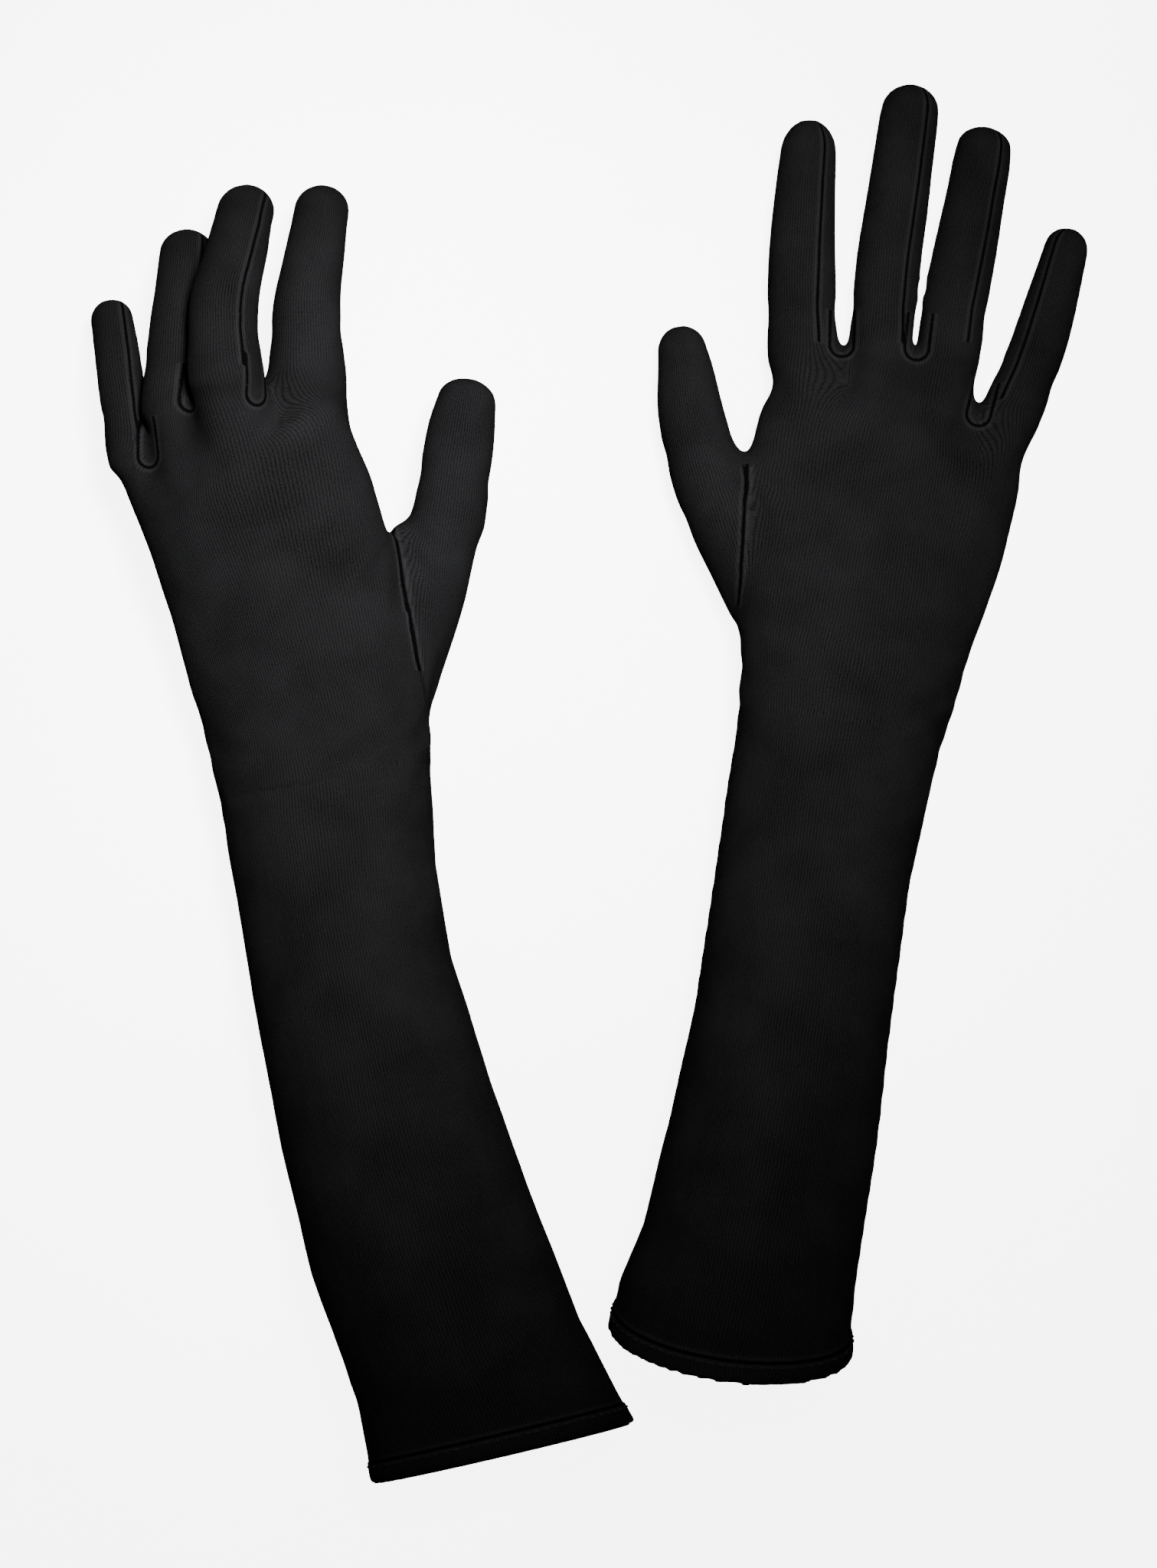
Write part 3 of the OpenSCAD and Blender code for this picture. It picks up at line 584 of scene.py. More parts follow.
# ---- Cutting the skin into its pieces ----
class Skin:
    """Triangles with a label each, and fields carried by the vertices."""

    def __init__(self, pts, quads):
        self.p = pts
        self.tris = np.vstack([quads[:, [0, 1, 2]], quads[:, [0, 2, 3]]])
        self.label = np.zeros(len(self.tris), int)
        self.names = ["hand"]
        self.fields = {"nx": 0, "ny": 0, "nz": 0}
        n = normals_of(pts, quads)
        for a, key in enumerate(("nx", "ny", "nz")):
            self.fields[key] = n[:, a]

    def normal(self):
        n = np.stack([self.fields[k] for k in ("nx", "ny", "nz")], 1)
        return n / (np.linalg.norm(n, axis=1)[:, None] + 1e-12)

    def number(self, name):
        if name not in self.names:
            self.names.append(name)
        return self.names.index(name)

    def split(self, inside, field, becomes=None):
        """Cuts the triangles of one label along field = 0. The positive
        side takes the label in becomes."""
        where = self.number(inside)
        value = self.fields[field]
        value = np.where(np.abs(value) < 1e-4, 1e-4, value)
        mine = self.label == where
        sign = value[self.tris] > 0
        count = sign.sum(1)
        crossing = mine & (count > 0) & (count < 3)
        tri, plus = self.tris[crossing], sign[crossing]
        # Turn each crossing triangle so that its lone corner comes first.
        lone_plus = plus.sum(1) == 1
        lone = np.where(lone_plus, plus.argmax(1), (~plus).argmax(1))
        turn = (lone[:, None] + np.arange(3)) % 3
        tri = np.take_along_axis(tri, turn, 1)
        a, b, c = tri.T
        start = len(self.p)
        pairs = np.vstack([np.stack([a, b], 1), np.stack([a, c], 1)])
        pairs = np.sort(pairs, axis=1)
        edges, index = np.unique(pairs, axis=0, return_inverse=True)
        index = index.ravel()
        i, j = edges.T
        t = value[i] / (value[i] - value[j])
        self.p = np.vstack([self.p, self.p[i] * (1 - t[:, None]) + self.p[j] * t[:, None]])
        for key, f in self.fields.items():
            new = f[i] * (1 - t) + f[j] * t
            self.fields[key] = np.concatenate([f, new])
        self.fields[field][start:] = 0
        ab, ac = start + index[: len(a)], start + index[len(a) :]
        tip = np.stack([a, ab, ac], 1)
        rest1, rest2 = np.stack([ab, b, c], 1), np.stack([ab, c, ac], 1)
        whole = mine & (count == 3)
        if becomes is not None:
            other = self.number(becomes)
            self.label[whole] = other
            tip_label = np.where(lone_plus, other, where)
            rest_label = np.where(lone_plus, where, other)
        else:
            tip_label = rest_label = np.full(len(a), where)
        keep = ~crossing
        self.tris = np.vstack([self.tris[keep], tip, rest1, rest2])
        self.label = np.concatenate([self.label[keep], tip_label, rest_label, rest_label])

    def piece(self, name):
        """Vertices used by a label, and its triangles renumbered."""
        tris = self.tris[self.label == self.number(name)]
        used, tris = np.unique(tris, return_inverse=True)
        return used, tris.reshape(-1, 3)


def distance_to(pts, names, reach=60.0):
    """How far each point is from some CAD nodes."""
    verts, tris = node_mesh(names)
    tree = BVHTree.FromPolygons([Vector(v) for v in verts], tris.tolist())
    out = np.full(len(pts), reach)
    for i, p in enumerate(pts):
        hit = tree.find_nearest(Vector(p), reach)
        if hit[0] is not None:
            out[i] = hit[3]
    return out


def wave_noise(pts, scale, stretch, seed):
    """Smooth noise, longer along one direction."""
    along = unit(stretch[0])
    q = pts + (pts @ along)[:, None] * along * (1 / stretch[1] - 1)
    q = q / scale + seed
    return np.array([noise.noise(Vector(v)) for v in q])


def fold(pts, n, a, b, width, height):
    """How far a soft fold from a to b lifts each point, seen from above."""
    a, b = np.asarray(a, float)[:2], np.asarray(b, float)[:2]
    d = b - a
    t = np.clip(((pts[:, :2] - a) @ d) / (d @ d), 0, 1)
    off = np.linalg.norm(pts[:, :2] - a - t[:, None] * d, axis=1)
    taper = np.sin(np.pi * np.clip(t * 0.9 + 0.08, 0, 1)) ** 0.7
    ridge = np.exp(-((off / width) ** 2)) - 0.45 * np.exp(-((off / (2.1 * width)) ** 2))
    return height * ridge * taper * np.clip(n[:, 2] * 2.0, 0, 1)


def thumb_web(g):
    """Where the thumb piece's seam ends in the crotch of the thumb."""
    verts = node_mesh([f"{g.side}_thumb_root"])[0]
    near = verts[distance_to(verts, [f"{g.side}_hand"], 5.0) < 0.3]
    return near[np.argmax(near @ g.digit["thumb"]["f"])]


def wrinkle(g, pts, n, nearest):
    """Lifts the cloth into the creases of a worn glove."""
    on_arm = smooth_step(-nearest, -0.4, 0.2)
    lean = (0.55, 1.0, 0.0) if g.side == "left" else (-0.5, 1.0, 0.0)
    lift = 0.9 * wave_noise(pts, 13.0, (lean, 3.2), 11.0)
    lift += 0.35 * wave_noise(pts, 6.0, (lean, 2.5), 47.0)
    calm = 0.25 + 0.75 * on_arm
    lift *= calm
    # Cross folds gather at the wrist.
    wrist = np.exp(-(((pts - g.wrist_point) @ g.wrist_ahead / 17.0) ** 2))
    across = g.wrist_side + g.wrist_ahead * 0.35
    lift += 0.9 * wrist * wave_noise(pts, 6.5, (across, 4.0), 5.0)
    web = thumb_web(g)
    u, f = g.wrist_side, g.wrist_ahead
    m = -1.0 if g.side == "left" else 1.0
    for dx, dy, width, height in (
        (-13.0, -15.0, 2.4, 0.95),
        (-6.0, -24.0, 2.2, 0.9),
        (4.0, -27.0, 2.4, 0.7),
        (15.0, -20.0, 2.6, 0.7),
        (22.0, -8.0, 2.8, 0.5),
    ):
        end = web + u * dx * m + f * dy
        start = web + (end - web) * 0.12
        lift += fold(pts, n, start, end, width, height)
    lift *= smooth_step((pts - g.hem_point) @ g.hem_in, 8.0, 26.0)
    return pts + n * lift[:, None]


def add_fields(g, skin):
    """Everything the cuts, the weave and the seams need at each vertex."""
    pts, put = skin.p, skin.fields
    put["open"] = (pts - g.hem_point) @ g.hem_in
    put["hem"] = HEM_DEPTH - put["open"]
    put["wrist"] = WRIST_ZONE[1] - (pts - g.wrist_point) @ g.wrist_ahead
    thumb = distance_to(pts, [f"{g.side}_thumb_root"], THUMB_NEAR)
    near = thumb < THUMB_NEAR
    put["hand_side"] = np.full(len(pts), -NO_SEAM)
    hand = distance_to(pts[near], [f"{g.side}_hand"], HAND_NEAR)
    put["hand_side"][near] = hand - thumb[near]
    arm = g.arm.locate(pts)
    places = {d: g.digit[d]["limb"].locate(pts) for d in DIGITS}
    rel = {
        d: np.sqrt((q[:, 1] / q[:, 3]) ** 2 + (q[:, 2] / q[:, 4]) ** 2)
        for d, q in places.items()
    }
    ref = np.pi * (g.arm.w[5] + g.arm.h[5])

    def cloth_uv(q, perimeter):
        turn = np.arctan2(q[:, 1] / q[:, 3], q[:, 2] / q[:, 4]) / (2 * np.pi)
        return turn * perimeter, q[:, 0]

    u, v = cloth_uv(arm, ref)
    for d in DIGITS:
        digit = g.digit[d]
        nearest = np.min([rel[o] for o in DIGITS if o != d], axis=0) - rel[d]
        if d == "thumb":
            nearest = np.minimum(nearest, THUMB_REACH - rel[d])
        ahead = (pts - digit["root"]) @ digit["f"] - ROOT_ZONE[0]
        put["root_" + d] = np.minimum(ahead, nearest * digit["stations"][0][1])
        put["mid_" + d] = (pts - digit["mid"]) @ digit["f1"] - MIDDLE_ZONE[0]
        # The finger's wales start from the palm's at its root.
        top = digit["stations"][0][0] + (0, 0, digit["stations"][0][2])
        base = g.arm.locate(top[None])
        u0, v0 = (float(x[0]) for x in cloth_uv(base, ref))
        w, h = digit["stations"][1][1:3]
        du, dv = cloth_uv(places[d], np.pi * (w + h))
        if d == "thumb":
            mix = smooth_step(put["hand_side"], -0.5, 0.5)
            mix = np.maximum(mix, put["root_thumb"] > -0.5)
        else:
            mix = smooth_step(ahead, -14.0, 4.0) * (nearest > 0)
        u = u * (1 - mix) + (du + u0) * mix
        v = v * (1 - mix) + (dv + v0) * mix
        if d == "thumb":
            continue
        inside = strip_field(places[d], digit["strips"])
        put["strip_" + d] = np.where(rel[d] < 1.8, inside, -NO_SEAM)
    put["u"], put["v"] = u, v
    # A seam goes round each finger crotch, a little below the web.
    for a, b in zip(FINGERS, FINGERS[1:]):
        web, f, across = g.crotch(a, b)
        along = (pts - web) @ f
        lat = (pts - web) @ across - CROTCH_ASIDE[g.side, a]
        below = np.minimum(along - 0.5, 0)
        ring = np.sqrt(lat**2 + below**2) - CROTCH_SEAM
        far = (along > CROTCH_UP) | (np.abs(lat) > CROTCH_WIDE)
        put["crotch_" + a] = np.where(far, NO_SEAM, ring)


def cut_glove(g):
    pts, quads = grow_skin(g)
    nearest = np.min([g.digit[d]["limb"].relative(pts) for d in DIGITS], axis=0)
    pts = wrinkle(g, pts, normals_of(pts, quads), nearest)
    pts[:, 2] = np.maximum(pts[:, 2], 0.05)
    skin = Skin(pts, quads)
    add_fields(g, skin)
    put = skin.fields
    put["shut"] = -put["open"]
    skin.split("hand", "shut", "waste")
    skin.split("hand", "hem", "hem")
    skin.split("hand", "wrist", "sleeve")
    for d in DIGITS:
        skin.split("hand", "root_" + d, d + "_base")
        if d != "thumb":
            skin.split(d + "_base", "strip_" + d, d + "_base_strip")
            skin.split(d + "_base_strip", "mid_" + d, d + "_tip_strip")
        skin.split(d + "_base", "mid_" + d, d + "_tip")
    skin.split("hand", "hand_side", "thumb_root")
    for a in FINGERS[:-1]:
        skin.split("hand", "crotch_" + a)
    # How far each vertex is from the nearest sewn line.
    seam = np.minimum(np.abs(put["hem"]), NO_SEAM)
    past_root = np.max([put["root_" + d] for d in DIGITS], axis=0)
    palm = (put["wrist"] < 0) & (past_root < 0)
    seam = np.minimum(seam, np.where(palm, np.abs(put["hand_side"]), NO_SEAM))
    for d in FINGERS:
        on = np.array(put["root_" + d] > -0.5)
        seam = np.where(on, np.minimum(seam, np.abs(put["strip_" + d])), seam)
    for a in FINGERS[:-1]:
        seam = np.minimum(seam, np.abs(put["crotch_" + a]))
    put["seam"] = seam
    return skin


# ---- Making the pieces ----
def shell(skin, label, wall=WALL, proud=0.0, round_open=None):
    """Outer and inner faces of one piece and the rim between them."""
    used, tris = skin.piece(label)
    n = skin.normal()[used]
    outer = skin.p[used] + n * proud
    inner = outer - n * wall
    outer[:, 2] = np.maximum(outer[:, 2], 0.0)
    inner[:, 2] = np.maximum(inner[:, 2], 0.02)
    count = len(used)
    e = np.vstack([tris[:, [0, 1]], tris[:, [1, 2]], tris[:, [2, 0]]])
    key = np.sort(e, axis=1)
    _, index, times = np.unique(key, axis=0, return_index=True, return_counts=True)
    rim = e[index[times == 1]]
    verts, normals = [outer, inner], [n, -n]
    faces = [tris, tris[:, ::-1] + count]
    quads = []
    fields = {k: np.concatenate([skin.fields[k][used]] * 2) for k in ("u", "v", "seam")}
    opening = np.zeros(len(rim), bool)
    if round_open is not None:
        at = skin.fields["open"][used]
        opening = (at[rim] < 0.01).all(1)
        ring = np.unique(rim[opening])
        place = {v: i for i, v in enumerate(ring)}
        r = wall / 2
        mid = (outer[ring] + inner[ring]) / 2
        steps = 5
        rows = [ring]
        total = 2 * count
        for k in range(1, steps):
            a = math.pi * k / steps
            out = n[ring] * math.cos(a) - round_open * math.sin(a)
            row = mid + out * r
            row[:, 2] = np.maximum(row[:, 2], 0.0)
            verts.append(row)
            normals.append(out)
            for key in fields:
                fields[key] = np.concatenate([fields[key], skin.fields[key][used][ring]])
            rows.append(np.arange(total, total + len(ring)))
            total += len(ring)
        rows.append(ring + count)
        a = np.array([place[v] for v in rim[opening][:, 0]])
        b = np.array([place[v] for v in rim[opening][:, 1]])
        for lo, hi in zip(rows, rows[1:]):
            quads.append(np.stack([lo[b], lo[a], hi[a], hi[b]], 1))
    plain = rim[~opening]
    a, b = plain.T
    quads.append(np.stack([b, a, a + count, b + count], 1))
    return np.vstack(verts), np.vstack(faces), np.vstack(quads), np.vstack(normals), fields


def make_object(name, verts, tris, quads, normals, fields):
    mesh = bpy.data.meshes.new(name)
    mesh.from_pydata((verts * 0.001).tolist(), [], tris.tolist() + quads.tolist())
    mesh.polygons.foreach_set("use_smooth", [True] * len(mesh.polygons))
    loops = np.zeros(len(mesh.loops), np.int32)
    mesh.loops.foreach_get("vertex_index", loops)
    uv = np.stack([fields["u"], fields["v"]], 1)[loops]
    layer = mesh.uv_layers.new(name="Knit")
    layer.data.foreach_set("uv", uv.astype(np.float32).ravel())
    seam = mesh.attributes.new("seam", "FLOAT", "POINT")
    seam.data.foreach_set("value", fields["seam"].astype(np.float32))
    mesh.update()
    mesh.normals_split_custom_set_from_vertices(normals.tolist())
    obj = bpy.data.objects.new(name, mesh)
    bpy.context.scene.collection.objects.link(obj)
    return obj


def metres(v):
    return tuple(float(x) * 0.001 for x in v)


def stitch_row(g, skin):
    """Short raised stitches round the hem, a little below its upper edge."""
    used, tris = skin.piece("hem")
    at = skin.fields["open"][used] - (HEM_DEPTH - 1.3)
    p, n = skin.p[used], skin.normal()[used]
    spots, ups = [], []
    for a, b in ((0, 1), (1, 2), (2, 0)):
        i, j = tris[:, a], tris[:, b]
        hit = (at[i] * at[j] < 0) & (i < j)
        i, j = i[hit], j[hit]
        t = (at[i] / (at[i] - at[j]))[:, None]
        spots.append(p[i] * (1 - t) + p[j] * t)
        ups.append(n[i] * (1 - t) + n[j] * t)
    spots, ups = np.vstack(spots), np.vstack(ups)
    middle = spots.mean(0)
    u = unit(np.cross(g.hem_in, (0, 0, 1)))
    v = np.cross(u, g.hem_in)
    order = np.argsort(np.arctan2((spots - middle) @ v, (spots - middle) @ u))
    spots, ups = spots[order], ups[order]
    step = np.linalg.norm(np.diff(np.vstack([spots, spots[:1]]), axis=0), axis=1)
    s = np.concatenate([[0], np.cumsum(step)])
    count = int(round(s[-1] / STITCH_PITCH))
    verts, faces = [], []
    sides, rings = 8, 7
    for k in range(count):
        i = min(np.searchsorted(s, s[-1] * k / count), len(spots) - 1)
        c = spots[i] + ups[i] * (HEM_PROUD + 0.02)
        up = unit(ups[i])
        if c[2] < 1.5:
            continue
        ahead = unit(np.cross(up, g.hem_in) + g.hem_in * 0.12 * math.sin(k * 2.4))
        side = np.cross(up, ahead)
        start = len(verts)
        for r in range(rings):
            a = math.pi * (r + 0.35) / (rings - 0.3)
            x = -math.cos(a) * 0.95
            wide = 0.3 * math.sin(a) ** 0.6
            for m in range(sides):
                b = 2 * math.pi * m / sides
                y, z = math.cos(b) * wide, math.sin(b) * wide * 0.8 + 0.12 * math.sin(a)
                verts.append(c + ahead * x + side * y + up * z)
        for r in range(rings - 1):
            for m in range(sides):
                q = start + r * sides
                p = q + (m + 1) % sides
                faces.append([q + m, p, p + sides, q + sides + m])
        faces.append([start + m for m in range(sides)][::-1])
        faces.append([start + (rings - 1) * sides + m for m in range(sides)])
    mesh = bpy.data.meshes.new(f"{g.side}_hem_stitch_row")
    mesh.from_pydata((np.array(verts) * 0.001).tolist(), [], faces)
    mesh.polygons.foreach_set("use_smooth", [True] * len(mesh.polygons))
    obj = bpy.data.objects.new(mesh.name, mesh)
    bpy.context.scene.collection.objects.link(obj)
    return obj


# ---- Materials ----
class Nodes:
    """Short calls for building a node tree."""

    def __init__(self, material):
        material.use_nodes = True
        self.tree = material.node_tree
        self.tree.nodes.clear()

    def add(self, kind, **values):
        node = self.tree.nodes.new(kind)
        for key, value in values.items():
            setattr(node, key, value)
        return node

    def link(self, a, b):
        self.tree.links.new(a, b)

    def math(self, op, a, b=None, c=None):
        node = self.add("ShaderNodeMath", operation=op)
        for i, x in enumerate((a, b, c)):
            if x is None:
                continue
            if isinstance(x, (int, float)):
                node.inputs[i].default_value = x
            else:
                self.link(x, node.inputs[i])
        return node.outputs[0]

    def map(self, value, a, b, c=0.0, d=1.0):
        node = self.add("ShaderNodeMapRange", interpolation_type="SMOOTHSTEP")
        self.link(value, node.inputs[0])
        for i, x in enumerate((a, b, c, d)):
            node.inputs[i + 1].default_value = x
        return node.outputs[0]


def knit_material(name, dark, light):
    """Fine jersey: wales 0.8 mm apart, sewn lines with painted shade in their grooves and a painted highlight on
    their welts, a little lint.
    """
    material = bpy.data.materials.new(name)
    n = Nodes(material)
    uv = n.add("ShaderNodeUVMap", uv_map="Knit").outputs[0]
    split = n.add("ShaderNodeSeparateXYZ")
    n.link(uv, split.inputs[0])
    u, v = split.outputs[0], split.outputs[1]
    # Wales wander a little, as knitted rows do.
    drift = n.add("ShaderNodeTexNoise", noise_dimensions="2D")
    drift.inputs["Scale"].default_value = 0.03
    n.link(uv, drift.inputs["Vector"])
    u = n.math("ADD", u, n.math("MULTIPLY", drift.outputs[0], 2.0))
    across = n.math("FRACT", n.math("MULTIPLY", u, WALES))
    off = n.math("ABSOLUTE", n.math("SUBTRACT", across, 0.5))
    ridge = n.math("SUBTRACT", 1.0, n.math("MULTIPLY", n.math("POWER", off, 2.0), 4.0))
    row = n.math("ADD", n.math("MULTIPLY", v, ROWS), n.math("MULTIPLY", off, 1.3))
    loop = n.math("SINE", n.math("MULTIPLY", row, 2 * math.pi))
    knit = n.math("MULTIPLY", ridge, n.math("MULTIPLY_ADD", loop, 0.22, 0.78))
    fuzz = n.add("ShaderNodeTexNoise", noise_dimensions="2D")
    fuzz.inputs["Scale"].default_value = 2.2
    fuzz.inputs["Detail"].default_value = 4.0
    n.link(uv, fuzz.inputs["Vector"])
    height = n.math("MULTIPLY_ADD", fuzz.outputs[0], 0.9, knit)
    seam = n.add("ShaderNodeAttribute", attribute_name="seam").outputs["Fac"]
    # The seam's groove: it shapes the bump, and it also sets painted shade in the colour.
    groove_and_painted_shade = n.map(seam, 0.05, 0.5, 1.0, 0.0)
    # The welt beside a seam: it shapes the bump, and it also sets a painted highlight in the colour.
    welt_and_painted_highlight = n.math("SUBTRACT", n.map(seam, 0.3, 0.9, 0.0, 1.0), n.map(seam, 0.9, 2.0, 0.0, 1.0))
    tick = n.math("SINE", n.math("MULTIPLY", v, 2 * math.pi / 1.5))
    tick = n.math("MULTIPLY", n.map(tick, -0.2, 0.7), n.map(seam, 0.5, 1.1, 1.0, 0.0))
    height = n.math("MULTIPLY_ADD", groove_and_painted_shade, -1.8, height)
    height = n.math("MULTIPLY_ADD", welt_and_painted_highlight, 0.6, height)
    height = n.math("MULTIPLY_ADD", tick, 0.9, height)
    bump = n.add("ShaderNodeBump")
    bump.inputs["Strength"].default_value = 0.75
    bump.inputs["Distance"].default_value = 0.00016
    n.link(height, bump.inputs["Height"])
    # Lint: a few pale specks.
    lint = n.add("ShaderNodeTexVoronoi", voronoi_dimensions="2D", feature="F1")
    lint.inputs["Scale"].default_value = 0.21
    n.link(uv, lint.inputs["Vector"])
    close = n.map(lint.outputs["Distance"], 0.01, 0.04, 1.0, 0.0)
    few = n.add("ShaderNodeSeparateColor")
    n.link(lint.outputs["Color"], few.inputs[0])
    speck = n.math("MULTIPLY", close, n.math("GREATER_THAN", few.outputs[0], 0.88))
    patch = n.add("ShaderNodeTexNoise", noise_dimensions="2D")
    patch.inputs["Scale"].default_value = 0.05
    patch.inputs["Detail"].default_value = 3.0
    n.link(uv, patch.inputs["Vector"])
    shade = n.math("MULTIPLY_ADD", knit, 0.32, n.math("MULTIPLY", patch.outputs[0], 0.3))
    shade = n.math("MULTIPLY_ADD", fuzz.outputs[0], 0.55, shade)
    # Painted shade: the seam grooves are darkened in colour.
    shade = n.math("SUBTRACT", shade, n.math("MULTIPLY", groove_and_painted_shade, 0.8))
    # Painted highlight: the welts beside the seams are lightened in colour.
    shade = n.math("MULTIPLY_ADD", welt_and_painted_highlight, 0.25, shade)
    ramp = n.add("ShaderNodeValToRGB")
    ramp.color_ramp.elements[0].position = 0.3
    ramp.color_ramp.elements[0].color = (*dark, 1)
    ramp.color_ramp.elements[1].position = 0.95
    ramp.color_ramp.elements[1].color = (*light, 1)
    n.link(shade, ramp.inputs[0])
    mix = n.add("ShaderNodeMix", data_type="RGBA")
    n.link(speck, mix.inputs["Factor"])
    n.link(ramp.outputs[0], mix.inputs["A"])
    mix.inputs["B"].default_value = (0.022, 0.022, 0.024, 1)
    shader = n.add("ShaderNodeBsdfPrincipled")
    n.link(mix.outputs["Result"], shader.inputs["Base Color"])
    rough = n.math("MULTIPLY_ADD", fuzz.outputs[0], 0.16, 0.76)
    n.link(rough, shader.inputs["Roughness"])
    n.link(bump.outputs[0], shader.inputs["Normal"])
    shader.inputs["Specular IOR Level"].default_value = 0.012
    out = n.add("ShaderNodeOutputMaterial")
    n.link(shader.outputs[0], out.inputs[0])
    return material


def thread_material(name):
    material = bpy.data.materials.new(name)
    n = Nodes(material)
    where = n.add("ShaderNodeTexCoord").outputs["Object"]
    twist = n.add("ShaderNodeTexWave", wave_type="BANDS", bands_direction="DIAGONAL")
    twist.inputs["Scale"].default_value = 900.0
    twist.inputs["Distortion"].default_value = 1.5
    n.link(where, twist.inputs["Vector"])
    ramp = n.add("ShaderNodeValToRGB")
    ramp.color_ramp.elements[0].color = (0.006, 0.006, 0.0068, 1)
    ramp.color_ramp.elements[1].color = (0.024, 0.024, 0.026, 1)
    n.link(twist.outputs["Fac"], ramp.inputs[0])
    bump = n.add("ShaderNodeBump")
    bump.inputs["Strength"].default_value = 0.6
    bump.inputs["Distance"].default_value = 0.0001
    n.link(twist.outputs["Fac"], bump.inputs["Height"])
    shader = n.add("ShaderNodeBsdfPrincipled")
    n.link(ramp.outputs[0], shader.inputs["Base Color"])
    n.link(bump.outputs[0], shader.inputs["Normal"])
    shader.inputs["Roughness"].default_value = 0.6
    shader.inputs["Specular IOR Level"].default_value = 0.08
    out = n.add("ShaderNodeOutputMaterial")
    n.link(shader.outputs[0], out.inputs[0])
    return material


CLOTH = knit_material("glove_knit", (0.0014, 0.0014, 0.0015), (0.0155, 0.0155, 0.0164))
STRIP = knit_material("strip_knit", (0.0014, 0.0014, 0.0015), (0.0157, 0.0157, 0.0166))
THREAD = thread_material("hem_thread")


# ---- Building both gloves ----
def finish_piece(obj, material, nodes):
    obj.data.materials.append(material)
    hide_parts(*nodes)


def build(side):
    g = Glove(side)
    skin = cut_glove(g)
    sleeve, hand = f"{side}_sleeve", f"{side}_hand"

    hem = make_object(
        f"{side}_hem_cloth",
        *shell(skin, "hem", WALL + HEM_PROUD + HEM_INNER, HEM_PROUD, g.hem_in),
    )
    finish_piece(hem, CLOTH, [f"{side}_hem"])
    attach(hem, sleeve)
    row = stitch_row(g, skin)
    finish_piece(row, THREAD, [f"{side}_hem_stitching"])
    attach(row, sleeve)
    arm = make_object(f"{side}_sleeve_cloth", *shell(skin, "sleeve"))
    finish_piece(arm, CLOTH, [f"{side}_sleeve", f"{side}_wrist"])
    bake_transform(arm)
    for label in ("hand", "thumb_root"):
        obj = make_object(f"{side}_{label}_cloth", *shell(skin, label))
        finish_piece(obj, CLOTH, [f"{side}_{label}"])
        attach(obj, hand)
    for d in DIGITS:
        digit = g.digit[d]
        base, tip = f"{side}_{d}_base", f"{side}_{d}_tip"
        root = [metres(digit["root"] + digit["f"] * z) for z in ROOT_ZONE]
        mid = [metres(digit["mid"] + digit["f1"] * z) for z in MIDDLE_ZONE]
        for part, bodies, ends in (
            ("base", (hand, base), root),
            ("tip", (base, tip), mid),
        ):
            for strip in (False, True):
                label = f"{d}_{part}" + ("_strip" if strip else "")
                nodes = node_names(side, d, part, strip)
                if not nodes:
                    continue
                obj = make_object(f"{side}_{label}_cloth", *shell(skin, label))
                material = STRIP if strip else CLOTH
                finish_piece(obj, material, nodes)
                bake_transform(obj)


for SIDE in GLOVES:
    build(SIDE)


# ---- Floor, light and camera ----
low, high = (np.array(c) for c in CAD_BOX)
centre = (low + high) / 2

floor_mesh = bpy.data.meshes.new("floor")
half = 4.0
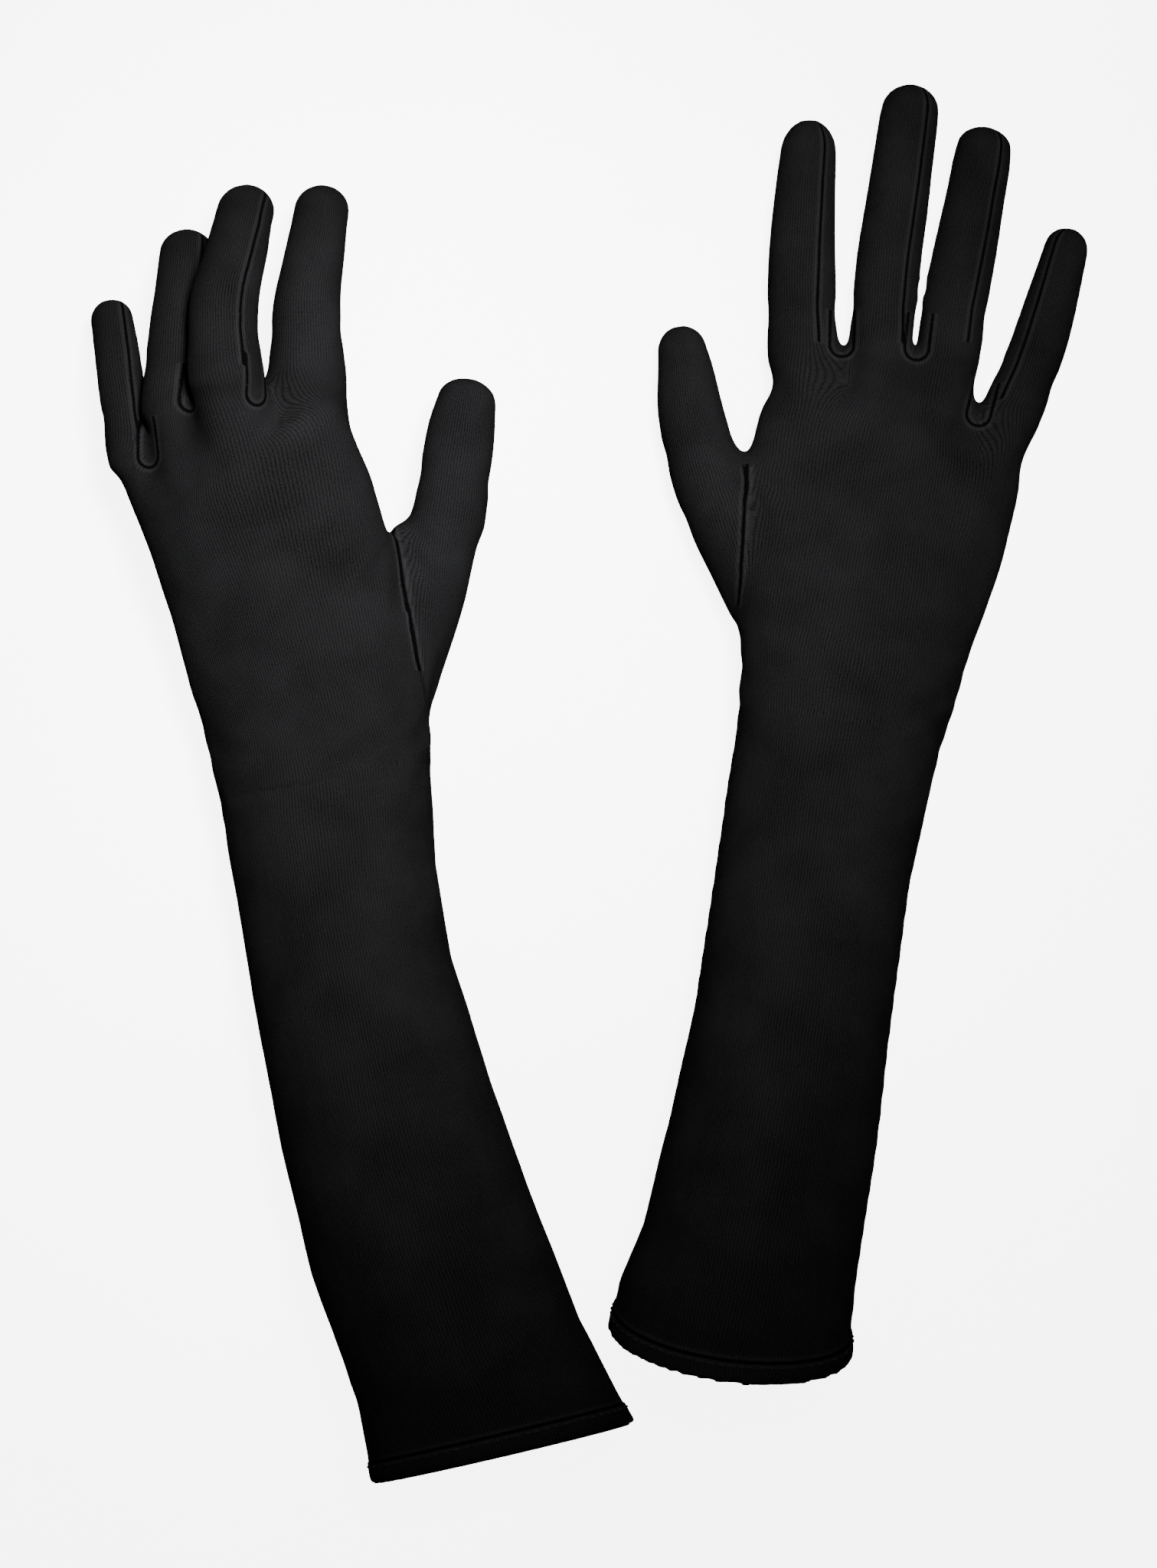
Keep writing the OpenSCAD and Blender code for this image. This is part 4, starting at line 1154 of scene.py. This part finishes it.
# The paper's height, in metres
drop = -0.0006
corners = ((-half, -half), (half, -half), (half, half), (-half, half))
floor_mesh.from_pydata(
    [(x, y, drop) for x, y in corners],
    [],
    [(0, 1, 2, 3)],
)
floor = bpy.data.objects.new("floor", floor_mesh)
bpy.context.scene.collection.objects.link(floor)
paper = bpy.data.materials.new("floor_paper")
n = Nodes(paper)
grain = n.add("ShaderNodeTexNoise")
grain.inputs["Scale"].default_value = 60.0
tone = n.map(grain.outputs[0], 0.3, 0.7, 0.88, 0.91)
paint = n.add("ShaderNodeCombineColor")
for socket in paint.inputs[:3]:
    n.link(tone, socket)
surface = n.add("ShaderNodeBsdfPrincipled")
surface.inputs["Roughness"].default_value = 0.9
n.link(paint.outputs[0], surface.inputs["Base Color"])
n.link(paint.outputs[0], surface.inputs["Emission Color"])
surface.inputs["Emission Strength"].default_value = 7.0
n.link(surface.outputs[0], n.add("ShaderNodeOutputMaterial").inputs[0])
floor_mesh.materials.append(paper)
# The paper is bright to the camera without lighting the gloves from below.
floor.visible_diffuse = False
floor.visible_glossy = False


def area_light(name, place, size, power):
    data = bpy.data.lights.new(name, "AREA")
    data.shape = "DISK"
    data.size = size
    data.energy = power
    lamp = bpy.data.objects.new(name, data)
    lamp.location = place
    aim = Vector(centre) - Vector(place)
    lamp.rotation_euler = aim.to_track_quat("-Z", "Y").to_euler()
    bpy.context.scene.collection.objects.link(lamp)


area_light("fill", (0.25, 0.3, 2.2), 1.0, 3.5)
spot_data = bpy.data.lights.new("key", "SPOT")
spot_data.energy = 180.0
spot_data.shadow_soft_size = 0.16
spot_data.spot_size = math.radians(28.0)
spot_data.spot_blend = 1.0
spot = bpy.data.objects.new("key", spot_data)
spot.location = (0.14, 0.34, 1.0)
spot_aim = Vector((-0.055, 0.1, 0.03)) - spot.location
spot.rotation_euler = spot_aim.to_track_quat("-Z", "Y").to_euler()
bpy.context.scene.collection.objects.link(spot)
world = bpy.data.worlds.new("studio")
world.use_nodes = True
world.node_tree.nodes["Background"].inputs[0].default_value = (1, 1, 1, 1)
world.node_tree.nodes["Background"].inputs[1].default_value = 0.06
bpy.context.scene.world = world

LENS = 135.0
SENSOR = 36.0
# The picture shows this much of the table, from its lower to its upper edge
VIEW_HEIGHT = 0.471
camera_data = bpy.data.cameras.new("camera")
camera_data.lens = LENS
camera_data.sensor_width = SENSOR
camera = bpy.data.objects.new("camera", camera_data)
reach = LENS * VIEW_HEIGHT / SENSOR
camera.location = (-0.0032, -0.0004, 0.02 + reach)
camera_data.clip_end = 20.0
bpy.context.scene.collection.objects.link(camera)
bpy.context.scene.camera = camera
